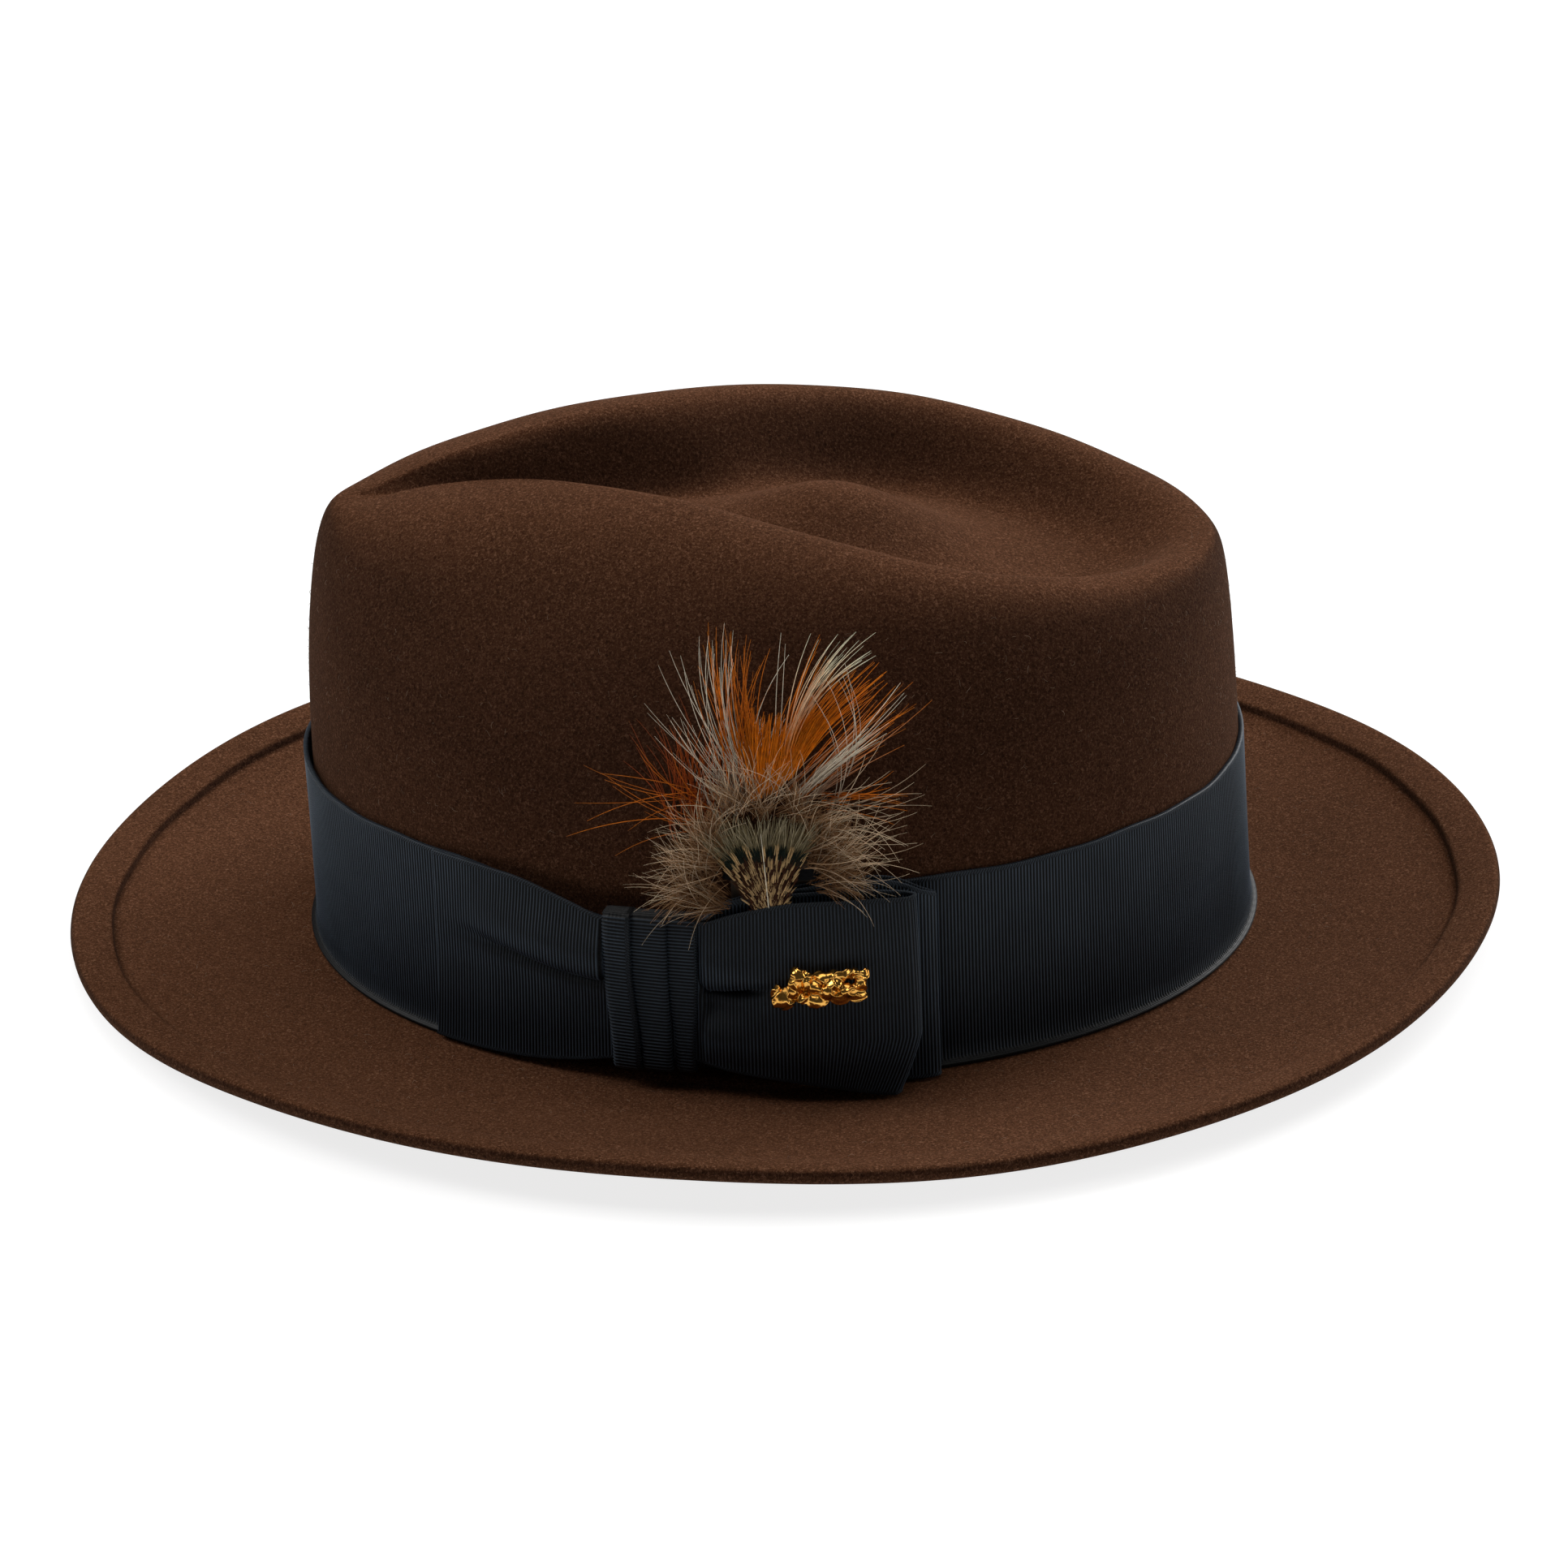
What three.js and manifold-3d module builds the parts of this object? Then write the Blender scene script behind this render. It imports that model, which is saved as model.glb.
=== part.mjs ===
// A dress fedora: blocked felt with a teardrop crown, grosgrain band and bow, feather mount,
// nugget pin, leather sweatband and satin lining.
// Millimetres, +Z up. The front of the hat faces -Y and the bow is on the wearer's left, +X.
// The hat rests on the flat ring under the foot of its crown, which is at z = 0.
import * as THREE from 'three';
import { mergeVertices } from 'three/addons/utils/BufferGeometryUtils.js';
import Module from 'manifold-3d';

const wasm = await Module();
wasm.setup();

// Felt body
const FELT = 2.0;
const CROWN_HALF_LENGTH = 100.5;
const CROWN_HALF_WIDTH = 86;
const FOOT_FILLET = 3;
const REST_RING_WIDTH = 9;
const BRIM_WIDTH = 55.8;
const BRIM_SIDE_EXTRA = 1.2;
const WELT_WIDTH = 9.5;
const WELT_RISE = 1.5;
const RIDGE_HALF_LENGTH = 90.5;
const FRONT_PEAK = 1.6;
const SHOULDER_START = 42;
const PINCH_DEPTH = 3;
const REAR_LEAN = 0.048;
const DENT = { centreY: 8, wallReach: 24, floorZ: 88, floorSlope: -0.125 };
const DENT_BUMP = { y: 14, height: 12.5, reachX: 18, reachY: 24 };

// Ribbon, bow and what is tucked behind it
const GAP = 0.3;
const RIBBON_FOOT = 2.6;
const RIBBON_TOP = 44.6;
const BAND_FLARE = 1.2;
const BAND_TUCK = { degrees: 74, reach: 12.5, drop: 8.6, rise: 3 };
const BAND_END_DROP = 1.2;
const BAND_THICKNESS = 0.8;
const BOW_RIBBON = 0.6;
const BAND_JOINT = 76.2;
const KNOT = { start: 71.5, end: 82, inner: 2.6, outer: 8.6, foot: 6.4, top: 41.2 };
const CARD = { start: 85.7, end: 95, offset: 2, thickness: 0.5, foot: 20, top: 53 };
const FEATHER_ROOT = 48.8;
const FEATHER_LEAN = 0.15;

// Pin
const PIN_ANGLE = 95.4;
const PIN_HEIGHT = 28.6;
const POST_RADIUS = 0.5;
const POST_HOLE_RADIUS = 0.8;
const POST_LENGTH = 5.4;

// Inside the crown, as distances in from the outside of the felt
const TAPE_DEPTH = 2.5;
const LINING_DEPTH = 2.4;
const LINING_BEND = 54;
const LINING_LEAN = 2.4;
const TAG_DEPTH = 3.2;
const SWEATBAND_DEPTH = 4.1;
const SWEATBAND_THICKNESS = 1.1;
const SWEATBAND_FOOT = 2;
const SWEATBAND_TOP = 50;
const LINING_TOP = 70;

const SEGMENTS = 56;

const COLOURS = {
  felt: 0x4a2e20,
  ribbon: 0x1d2228,
  orange: 0xb4611c,
  pale: 0xc9c3b4,
  rust: 0x8a3414,
  down: 0x8d7a66,
  spotted: 0x6b7a5e,
  card: 0xb39d78,
  thread: 0x1b1b1d,
  gold: 0xd4a440,
  brass: 0xb08d45,
  leather: 0x5b3a25,
  tape: 0x3b2b22,
  reed: 0xd9d6cc,
  satin: 0x8f6f4e,
  clear: 0xdfe6e8,
  paper: 0xf0ead8,
};

const radians = THREE.MathUtils.degToRad;
const mix = THREE.MathUtils.lerp;
const bump = (distance, width) => Math.exp(-((distance / width) ** 2));

// ---- Solids from points ----

// Gives a closed mesh as a geometry whose faces point out.
function closedGeometry(points, faces) {
  const edgeA = new THREE.Vector3();
  let volume = 0;
  for (const [a, b, c] of faces) {
    volume += points[a].dot(edgeA.copy(points[b]).cross(points[c]));
  }
  const outward = volume > 0 ? faces : faces.map(([a, b, c]) => [a, c, b]);
  const geometry = new THREE.BufferGeometry();
  const coordinates = points.flatMap((point) => point.toArray());
  geometry.setAttribute('position', new THREE.Float32BufferAttribute(coordinates, 3));
  geometry.setIndex(outward.flat());
  return geometry;
}

// Joins closed sections of equal length, either into a ring or with a cap at each end.
function loft(sections, closed) {
  const size = sections[0].length;
  const faces = [];
  const spans = closed ? sections.length : sections.length - 1;
  for (let i = 0; i < spans; i++) {
    const here = i * size;
    const there = ((i + 1) % sections.length) * size;
    for (let k = 0; k < size; k++) {
      const next = (k + 1) % size;
      faces.push([here + k, here + next, there + next], [here + k, there + next, there + k]);
    }
  }
  if (!closed) {
    const last = (sections.length - 1) * size;
    for (let k = 0; k < size / 2 - 1; k++) {
      const across = size - 1 - k;
      faces.push([k, across, across - 1], [k, across - 1, k + 1]);
      faces.push([last + k, last + across - 1, last + across]);
      faces.push([last + k, last + k + 1, last + across - 1]);
    }
  }
  return closedGeometry(sections.flat(), faces);
}

// Joins closed rings of equal length between two single points.
function poleSolid(first, rings, last) {
  const size = rings[0].length;
  const points = [first, ...rings.flat(), last];
  const faces = [];
  for (let k = 0; k < size; k++) {
    const next = (k + 1) % size;
    faces.push([0, 1 + k, 1 + next]);
    for (let i = 0; i < rings.length - 1; i++) {
      const here = 1 + i * size;
      const there = here + size;
      faces.push([here + k, there + k, there + next], [here + k, there + next, here + next]);
    }
    const end = 1 + (rings.length - 1) * size;
    faces.push([end + k, points.length - 1, end + next]);
  }
  return closedGeometry(points, faces);
}

function toManifold(geometry) {
  const bare = geometry.clone();
  bare.deleteAttribute('normal');
  bare.deleteAttribute('uv');
  const merged = mergeVertices(bare);
  return new wasm.Manifold(new wasm.Mesh({
    numProp: 3,
    vertProperties: new Float32Array(merged.attributes.position.array),
    triVerts: new Uint32Array(merged.index.array),
  }));
}

function fromManifold(manifold) {
  const mesh = manifold.getMesh();
  const geometry = new THREE.BufferGeometry();
  geometry.setAttribute('position', new THREE.Float32BufferAttribute(mesh.vertProperties, 3));
  geometry.setIndex(Array.from(mesh.triVerts));
  return geometry;
}

// ---- The crown and brim surface ----
// The angle phi goes round the hat from the front, 0, by the left side to the rear, pi.

function ovalPoint(phi) {
  return new THREE.Vector3(CROWN_HALF_WIDTH * Math.sin(phi), -CROWN_HALF_LENGTH * Math.cos(phi), 0);
}

function ovalNormal(phi) {
  const across = CROWN_HALF_LENGTH * Math.sin(phi);
  return new THREE.Vector3(across, -CROWN_HALF_WIDTH * Math.cos(phi), 0).normalize();
}

// The angle away from the front, the same on both sides.
function sideAngle(phi) {
  return Math.abs(Math.atan2(Math.sin(phi), Math.cos(phi)));
}

// The crest of the crown in plan is a teardrop, narrow at the front and widest behind the middle.
function ridgePoint(phi) {
  const back = -Math.cos(phi);
  const halfWidth = 41.6 + 35.5 * back - 14.3 * back ** 2 - 15 * back ** 3;
  const peak = FRONT_PEAK * bump(sideAngle(phi), 0.25);
  const height = 105.9 - 13.3 * back - 14.2 * back ** 2 + 9 * back ** 3 + peak;
  return new THREE.Vector3(halfWidth * Math.sin(phi), RIDGE_HALF_LENGTH * back, height);
}

// How far the wall leans in at a height: nothing at the front, most at the rear.
function wallLean(phi, z) {
  return REAR_LEAN * (1 - Math.cos(phi)) / 2 * (z - FELT);
}

// A point on the wall above the start of the shoulder. rise goes from 0 there to 1 at the ridge,
// and inward goes from 0 on the crown's oval to 1 at the ridge in plan.
function shoulderPoint(phi, rise, inward) {
  const ridge = ridgePoint(phi);
  const z = mix(SHOULDER_START, ridge.z, rise);
  const foot = ovalPoint(phi).addScaledVector(ovalNormal(phi), -wallLean(phi, z) * (1 - inward));
  const pinch = PINCH_DEPTH * bump(sideAngle(phi) - radians(50), 0.4) * bump(rise - 0.78, 0.22);
  const point = foot.lerp(new THREE.Vector3(ridge.x, ridge.y, 0), inward);
  point.addScaledVector(ovalNormal(phi), -pinch);
  return point.setZ(z);
}

function shoulderPower(phi) {
  return 2.16 + 0.48 * Math.cos(2 * phi);
}

// The outside of the wall at a height, with any distance out from it.
function wallPoint(phi, z, out = 0) {
  let point;
  if (z <= SHOULDER_START) {
    point = ovalPoint(phi).addScaledVector(ovalNormal(phi), -wallLean(phi, z));
  } else {
    const rise = (z - SHOULDER_START) / (ridgePoint(phi).z - SHOULDER_START);
    const power = shoulderPower(phi);
    point = shoulderPoint(phi, rise, 1 - (1 - rise ** power) ** (1 / power));
  }
  return point.addScaledVector(ovalNormal(phi), out).setZ(z);
}

function brimWidth(phi) {
  return BRIM_WIDTH - BRIM_SIDE_EXTRA * Math.cos(2 * phi);
}

function brimRise(phi) {
  const back = -Math.cos(phi);
  return 6.2 + 1.35 * back - 0.8 * Math.cos(2 * phi) + 1.5 * Math.cos(3 * phi + Math.PI);
}

// The top of the brim at a distance out from the crown's oval, without the welt.
function brimPoint(phi, out) {
  const share = Math.max(0, (out - REST_RING_WIDTH) / (brimWidth(phi) - REST_RING_WIDTH));
  const point = ovalPoint(phi).addScaledVector(ovalNormal(phi), out);
  return point.setZ(FELT + brimRise(phi) * share ** 1.5);
}

// The dent falls from the ridge to a sloping floor, which swells up in the middle.
function dentPoint(phi, inward) {
  const ridge = ridgePoint(phi);
  const x = ridge.x * (1 - inward);
  const y = mix(ridge.y, DENT.centreY, inward);
  const fromRidge = inward * Math.hypot(ridge.x, ridge.y - DENT.centreY);
  const fall = Math.sin(Math.PI / 2 * Math.min(1, fromRidge / DENT.wallReach)) ** 2;
  const swell = bump(x, DENT_BUMP.reachX) * bump(y - DENT_BUMP.y, DENT_BUMP.reachY);
  const floor = DENT.floorZ + DENT.floorSlope * y + DENT_BUMP.height * swell;
  return new THREE.Vector3(x, y, mix(ridge.z, floor, fall));
}

// The outside of the hat from the middle of the dent, 0, over the ridge, 1, and down the wall to
// its foot, 2, then round the fillet, 3, and out to the brim's edge, 4.
function feltSurface(phi, t) {
  if (t <= 1) {
    return dentPoint(phi, 1 - t);
  }
  if (t <= 2) {
    const turn = (2 - t) * 1.35;
    if (turn <= 0.35) {
      return wallPoint(phi, mix(FELT + FOOT_FILLET, SHOULDER_START, turn / 0.35));
    }
    const angle = (turn - 0.35) * Math.PI / 2;
    const power = 2 / shoulderPower(phi);
    return shoulderPoint(phi, Math.sin(angle) ** power, 1 - Math.cos(angle) ** power);
  }
  if (t <= 3) {
    const angle = (t - 2) * Math.PI / 2;
    const z = FELT + FOOT_FILLET * (1 - Math.sin(angle));
    return wallPoint(phi, z, FOOT_FILLET * (1 - Math.cos(angle)));
  }
  return brimPoint(phi, mix(FOOT_FILLET, brimWidth(phi), t - 3));
}

function feltNormal(phi, t) {
  const step = 1e-3;
  const round = feltSurface(phi + step, t).sub(feltSurface(phi - step, t));
  const low = Math.max(step, t - step);
  const high = Math.min(4, t + step);
  const along = feltSurface(phi, high).sub(feltSurface(phi, low));
  return along.cross(round).normalize();
}

// A point at a depth under the outside of the wall, measured square to the felt.
function insidePoint(phi, z, depth) {
  const step = 1e-2;
  const round = wallPoint(phi + step, z).sub(wallPoint(phi - step, z));
  const along = wallPoint(phi, z - step * 10).sub(wallPoint(phi, z + step * 10));
  return wallPoint(phi, z).addScaledVector(along.cross(round).normalize(), -depth);
}

const ringAngles = Array.from({ length: SEGMENTS }, (_, k) => 2 * Math.PI * k / SEGMENTS);

// The angles of a strip that goes once round the hat and stops a little short of its own start.
function stripAngles(start, joint) {
  const end = start + 2 * Math.PI - joint;
  const step = 2 * Math.PI / SEGMENTS;
  const angles = [start];
  for (let k = Math.ceil(start / step + 0.2); k * step < end - 0.2 * step; k++) {
    angles.push(k * step);
  }
  return [...angles, end];
}

function ringAt(pointAt) {
  return ringAngles.map(pointAt);
}

function feltBody() {
  const dent = [0.13, 0.26, 0.38, 0.49, 0.59, 0.68, 0.76, 0.84, 0.9, 0.95];
  const wall = [1, 1.06, 1.13, 1.21, 1.3, 1.4, 1.5, 1.6, 1.7, 1.8, 1.9, 2];
  const foot = [2.5, 3];
  const inside = (t) => ringAt((phi) => feltSurface(phi, t).addScaledVector(feltNormal(phi, t), -FELT));
  const outside = (t) => ringAt((phi) => feltSurface(phi, t));
  const crownRows = [...dent, ...wall, ...foot];

  const brimOuts = (phi) => {
    const weltStart = brimWidth(phi) - WELT_WIDTH;
    return [REST_RING_WIDTH, mix(REST_RING_WIDTH, weltStart, 0.35), mix(REST_RING_WIDTH, weltStart, 0.7)];
  };
  const rings = crownRows.map(outside);
  for (const k of [0, 1, 2]) {
    rings.push(ringAt((phi) => brimPoint(phi, brimOuts(phi)[k])));
  }

  // The welt is the brim's edge folded up and back, with a round fold.
  const edge = (FELT + WELT_RISE) / 2;
  const weltTop = (phi, back, drop) => {
    const point = brimPoint(phi, brimWidth(phi) - back);
    return point.setZ(point.z + WELT_RISE - drop);
  };
  rings.push(ringAt((phi) => brimPoint(phi, brimWidth(phi) - WELT_WIDTH)));
  rings.push(ringAt((phi) => weltTop(phi, WELT_WIDTH - 0.4, 0.1)));
  rings.push(ringAt((phi) => weltTop(phi, WELT_WIDTH / 2, 0)));
  rings.push(ringAt((phi) => weltTop(phi, edge, 0)));
  for (const turn of [0.25, 0.5, 0.75, 1]) {
    const back = edge * (1 - Math.sin(turn * Math.PI));
    rings.push(ringAt((phi) => weltTop(phi, back, edge * (1 - Math.cos(turn * Math.PI)))));
  }

  const under = (phi, out) => {
    const point = brimPoint(phi, out);
    return point.setZ(point.z - FELT);
  };
  for (const k of [2, 1, 0]) {
    rings.push(ringAt((phi) => under(phi, brimOuts(phi)[k])));
  }
  rings.push(...crownRows.map(inside).reverse());

  const top = dentPoint(0, 1);
  return poleSolid(top, rings, top.clone().setZ(top.z - FELT));
}

// ---- Ribbons ----

// A strip of ribbon through stations, each a list of points up its centre line, lowest first.
function ribbon(stations, thickness) {
  const sections = stations.map((levels, i) => {
    const before = stations[Math.max(i - 1, 0)];
    const after = stations[Math.min(i + 1, stations.length - 1)];
    const sides = levels.map((point, k) => {
      const along = after[k].clone().sub(before[k]).setZ(0);
      return new THREE.Vector3(along.y, -along.x, 0).normalize().multiplyScalar(thickness / 2);
    });
    const front = levels.map((point, k) => point.clone().add(sides[k]));
    const back = levels.map((point, k) => point.clone().sub(sides[k])).reverse();
    return [...front, ...back];
  });
  return loft(sections, false);
}

// The foot of the band stands out over the fillet there, and flares a little.
function bandFootOut(z) {
  const drop = Math.max(0, (FELT + FOOT_FILLET - z) / FOOT_FILLET);
  return FOOT_FILLET * (1 - Math.sqrt(1 - drop ** 2)) + BAND_FLARE * drop ** 1.5;
}

// The band is drawn together behind the knot, and its top edge is lower at the front and rear.
function bandLevels(phi) {
  const tuck = bump(phi - radians(BAND_TUCK.degrees), radians(BAND_TUCK.reach));
  const foot = RIBBON_FOOT + BAND_TUCK.rise * tuck;
  const top = RIBBON_TOP - BAND_TUCK.drop * tuck - BAND_END_DROP * Math.cos(phi) ** 4;
  return [foot, foot + 2.4, 25, top];
}

function hatBand() {
  const offset = GAP + BAND_THICKNESS / 2;
  // The band's top edge stands a little off the felt at the front.
  const standOff = (phi, z) => 0.9 * bump(sideAngle(phi), 0.6) * (z / RIBBON_TOP) ** 3;
  const stations = stripAngles(radians(BAND_JOINT), 0.006).map((phi) => {
    const turn = phi > 2 * Math.PI ? phi - 2 * Math.PI : phi;
    return bandLevels(turn).map(
      (z) => wallPoint(phi, z, offset + bandFootOut(z) + standOff(phi, z)),
    );
  });
  return ribbon(stations, BAND_THICKNESS);
}

// Each row of a bow wing is [degrees, out at the foot, out at the middle, out at the top, foot, top].
function wing(rows) {
  const stations = rows.map(([degrees, footOut, middleOut, topOut, foot, top]) => {
    const phi = radians(degrees);
    return [
      wallPoint(phi, foot, footOut),
      wallPoint(phi, (foot + top) / 2, middleOut),
      wallPoint(phi, top, topOut),
    ];
  });
  return ribbon(stations, BOW_RIBBON);
}

function leftWing() {
  return wing([
    [46.9, 3.8, 1.75, 1.75, 3, 44.6],
    [53, 3.8, 2, 1.9, 3, 44.5],
    [60, 3.9, 2.6, 2.8, 3.6, 44],
    [66, 4.2, 3.6, 3.6, 5.1, 41.7],
    [70, 4.8, 4.8, 4.8, 6.7, 39.9],
    [73.5, 5.3, 5.3, 5.3, 8.2, 38.2],
  ]);
}

const FRONT_LOOP_OUTER = [
  [77, 6.8, 6.8, 6.8, 9.2, 38.8],
  [82.4, 7.2, 7, 6.9, 9, 40],
  [86, 9.2, 8.8, 8.4, 8.2, 42.6],
  [92, 11.6, 11.8, 10.2, 6.9, 44.7],
  [99, 12.2, 12.8, 10.8, 5.3, 45],
  [104.2, 12.4, 12.6, 10.6, 3.8, 44.6],
];

function frontLoop() {
  const fold = [
    [105.6, 11.6, 11.4, 9.9, 3.4, 44.6],
    [106.1, 9.8, 9.6, 8.6, 3.3, 44.8],
    [105.6, 8, 7.9, 7.3, 3.3, 45],
  ];
  const inner = [
    [104.2, 7.2, 7, 6.8, 3.4, 45.4],
    [99, 6.5, 6.5, 6.5, 4.4, 46.4],
    [92, 6.3, 6.3, 6.3, 5.5, 45.8],
    [86, 6.1, 6.1, 6.1, 7.4, 44.2],
    [82.4, 5.9, 5.9, 5.9, 8.8, 40],
    [77, 5.8, 5.8, 5.8, 9.2, 38.8],
  ];
  return wing([...FRONT_LOOP_OUTER, ...fold, ...inner]);
}

function backLoop() {
  return wing([
    [77, 4.1, 4.1, 4.1, 9.2, 38.8],
    [82.4, 4.1, 4.1, 4.1, 8.4, 40],
    [86, 4.1, 3.9, 3.9, 6.6, 44],
    [95, 4.3, 3.7, 3.7, 4, 46],
    [103, 4.4, 3.7, 3.7, 3, 46.5],
    [107.6, 4.5, 3.8, 3.8, 2.8, 44],
    [108.9, 5.2, 4.6, 4.5, 2.8, 43.1],
    [107.6, 6, 5.4, 5.3, 2.8, 44],
    [103, 5.6, 5.3, 5.2, 3, 46.5],
    [95, 5.4, 5.2, 5.2, 4, 46],
    [86, 5, 5, 5, 6.6, 44],
    [82.4, 5, 5, 5, 8.4, 40],
    [77, 5, 5, 5, 9.2, 38.8],
  ]);
}

// The knot is one ribbon wrapped round the wings, with its front laid in three pleats.
function knot() {
  const across = [0, 0.3, 0.34, 0.66, 0.7, 1];
  const pleatOut = [0.2, 0.2, 0.6, 0.6, 0.1, 0.1];
  const middle = { out: (KNOT.inner + KNOT.outer) / 2, z: (KNOT.foot + KNOT.top) / 2 };
  const half = { out: (KNOT.outer - KNOT.inner) / 2, z: (KNOT.top - KNOT.foot) / 2 };
  const steps = 24;
  const wrapPoint = (phi, turn, out) => {
    const c = Math.cos(turn);
    const s = Math.sin(turn);
    const reach = (value) => Math.sign(value) * Math.abs(value) ** 0.3;
    const height = middle.z + reach(s) * (half.z - out);
    return wallPoint(phi, height, middle.out + reach(c) * (half.out - out));
  };
  const angles = across.map((share) => radians(mix(KNOT.start, KNOT.end, share)));
  const sections = [];
  for (let k = 0; k < steps; k++) {
    const turn = 2 * Math.PI * (k + 0.5) / steps;
    const facing = Math.max(0, Math.cos(turn));
    const outside = angles.map((phi, j) => wrapPoint(phi, turn, -pleatOut[j] * facing));
    const inside = angles.map((phi) => wrapPoint(phi, turn, BOW_RIBBON));
    sections.push([...outside, ...inside.reverse()]);
  }
  return loft(sections, true);
}

// ---- Feather mount ----

function featherCard() {
  const middle = (CARD.start + CARD.end) / 2;
  const stations = [CARD.start, middle, CARD.end].map((degrees) => {
    const face = wallPoint(radians(degrees), SHOULDER_START, CARD.offset);
    return [CARD.foot, CARD.top].map((z) => face.clone().setZ(z));
  });
  return ribbon(stations, CARD.thickness);
}

// The thread is wrapped round the card and the feathers' quills.
function quillBinding() {
  const outline = new THREE.Shape();
  const hole = new THREE.Path();
  const halfWidth = 9.9;
  const depth = 6.8;
  const thread = 0.5;
  roundedBox(outline, halfWidth, depth / 2, 2);
  roundedBox(hole, halfWidth - thread, depth / 2 - thread, 1.5);
  outline.holes.push(hole);
  const geometry = new THREE.ExtrudeGeometry(outline, { depth: 3, bevelEnabled: false, curveSegments: 4 });
  const centre = wallPoint(radians(90), SHOULDER_START, 0.45 + depth / 2);
  geometry.rotateZ(Math.PI / 2);
  return geometry.translate(centre.x, 0.6, 49.2);
}

function roundedBox(path, halfX, halfY, radius) {
  path.moveTo(-halfX + radius, -halfY);
  path.lineTo(halfX - radius, -halfY);
  path.quadraticCurveTo(halfX, -halfY, halfX, -halfY + radius);
  path.lineTo(halfX, halfY - radius);
  path.quadraticCurveTo(halfX, halfY, halfX - radius, halfY);
  path.lineTo(-halfX + radius, halfY);
  path.quadraticCurveTo(-halfX, halfY, -halfX, halfY - radius);
  path.lineTo(-halfX, -halfY + radius);
  path.quadraticCurveTo(-halfX, -halfY, -halfX + radius, -halfY);
}

// A feather is a thin leaf on a quill. layer is its distance out from the card, in leaf thicknesses.
function feather({ length, width, layer, tilt, shift }) {
  const quill = 0.35;
  const bare = 6.5;
  const outline = new THREE.Shape();
  outline.moveTo(-quill, 0);
  outline.lineTo(quill, 0);
  outline.lineTo(quill, bare);
  outline.bezierCurveTo(width * 0.75, length * 0.3, width * 0.6, length * 0.85, 0, length);
  outline.bezierCurveTo(-width * 0.6, length * 0.85, -width * 0.75, length * 0.3, -quill, bare);
  const leaf = 0.4;
  const options = { depth: leaf, bevelEnabled: false, curveSegments: 6 };
  const geometry = new THREE.ExtrudeGeometry(outline, options);
  geometry.rotateZ(-tilt);
  geometry.rotateX(Math.PI / 2);
  geometry.rotateZ(Math.PI / 2);
  geometry.rotateY(-FEATHER_LEAN);
  const out = 3.1 + layer * (leaf + GAP);
  const root = wallPoint(radians(90), SHOULDER_START, out);
  return geometry.translate(root.x, 0.6 + shift, FEATHER_ROOT);
}

const FEATHERS = {
  pale_plume: { colour: 'pale', length: 54, width: 11, layer: 0, tilt: -0.12, shift: -2 },
  orange_plume: { colour: 'orange', length: 53, width: 14, layer: 1, tilt: 0.2, shift: 0 },
  rust_plume: { colour: 'rust', length: 40, width: 12, layer: 2, tilt: -0.55, shift: -3 },
  amber_plume: { colour: 'orange', length: 38, width: 12, layer: 2, tilt: 0.6, shift: 2.4 },
  spotted_feather_front: { colour: 'spotted', length: 19, width: 7, layer: 3, tilt: -0.5, shift: -3.4 },
  spotted_feather_middle: { colour: 'spotted', length: 21, width: 7, layer: 3, tilt: 0, shift: 0 },
  spotted_feather_rear: { colour: 'spotted', length: 19, width: 7, layer: 3, tilt: 0.5, shift: 3.4 },
  fluff_front: { colour: 'down', length: 22, width: 12, layer: 4, tilt: -0.85, shift: -4 },
  fluff_middle: { colour: 'down', length: 22, width: 10, layer: 4, tilt: -0.05, shift: 0 },
  fluff_rear: { colour: 'down', length: 22, width: 12, layer: 4, tilt: 0.85, shift: 4 },
};

// ---- Pin, in its own frame: +Z out of the bow along the post ----

function pinFrame() {
  const rowAt = (degrees) => {
    const next = FRONT_LOOP_OUTER.findIndex((row) => row[0] > degrees);
    const [low, high] = [FRONT_LOOP_OUTER[next - 1], FRONT_LOOP_OUTER[next]];
    const share = (degrees - low[0]) / (high[0] - low[0]);
    return low.map((value, k) => mix(value, high[k], share));
  };
  const pointAt = (degrees, share) => {
    const [angle, footOut, middleOut, topOut, foot, top] = rowAt(degrees);
    const out = share < 0.5 ? mix(footOut, middleOut, share * 2) : mix(middleOut, topOut, share * 2 - 1);
    return wallPoint(radians(angle), mix(foot, top, share), out);
  };
  const [foot, top] = rowAt(PIN_ANGLE).slice(4);
  const height = (PIN_HEIGHT - foot) / (top - foot);
  const origin = pointAt(PIN_ANGLE, height);
  const across = pointAt(PIN_ANGLE + 1, height).sub(pointAt(PIN_ANGLE - 1, height)).normalize();
  const up = pointAt(PIN_ANGLE, height + 0.2).sub(pointAt(PIN_ANGLE, height - 0.2)).normalize();
  const out = across.clone().cross(up).normalize();
  const frame = new THREE.Matrix4().makeBasis(across, out.clone().cross(across), out);
  return frame.setPosition(origin);
}

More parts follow.
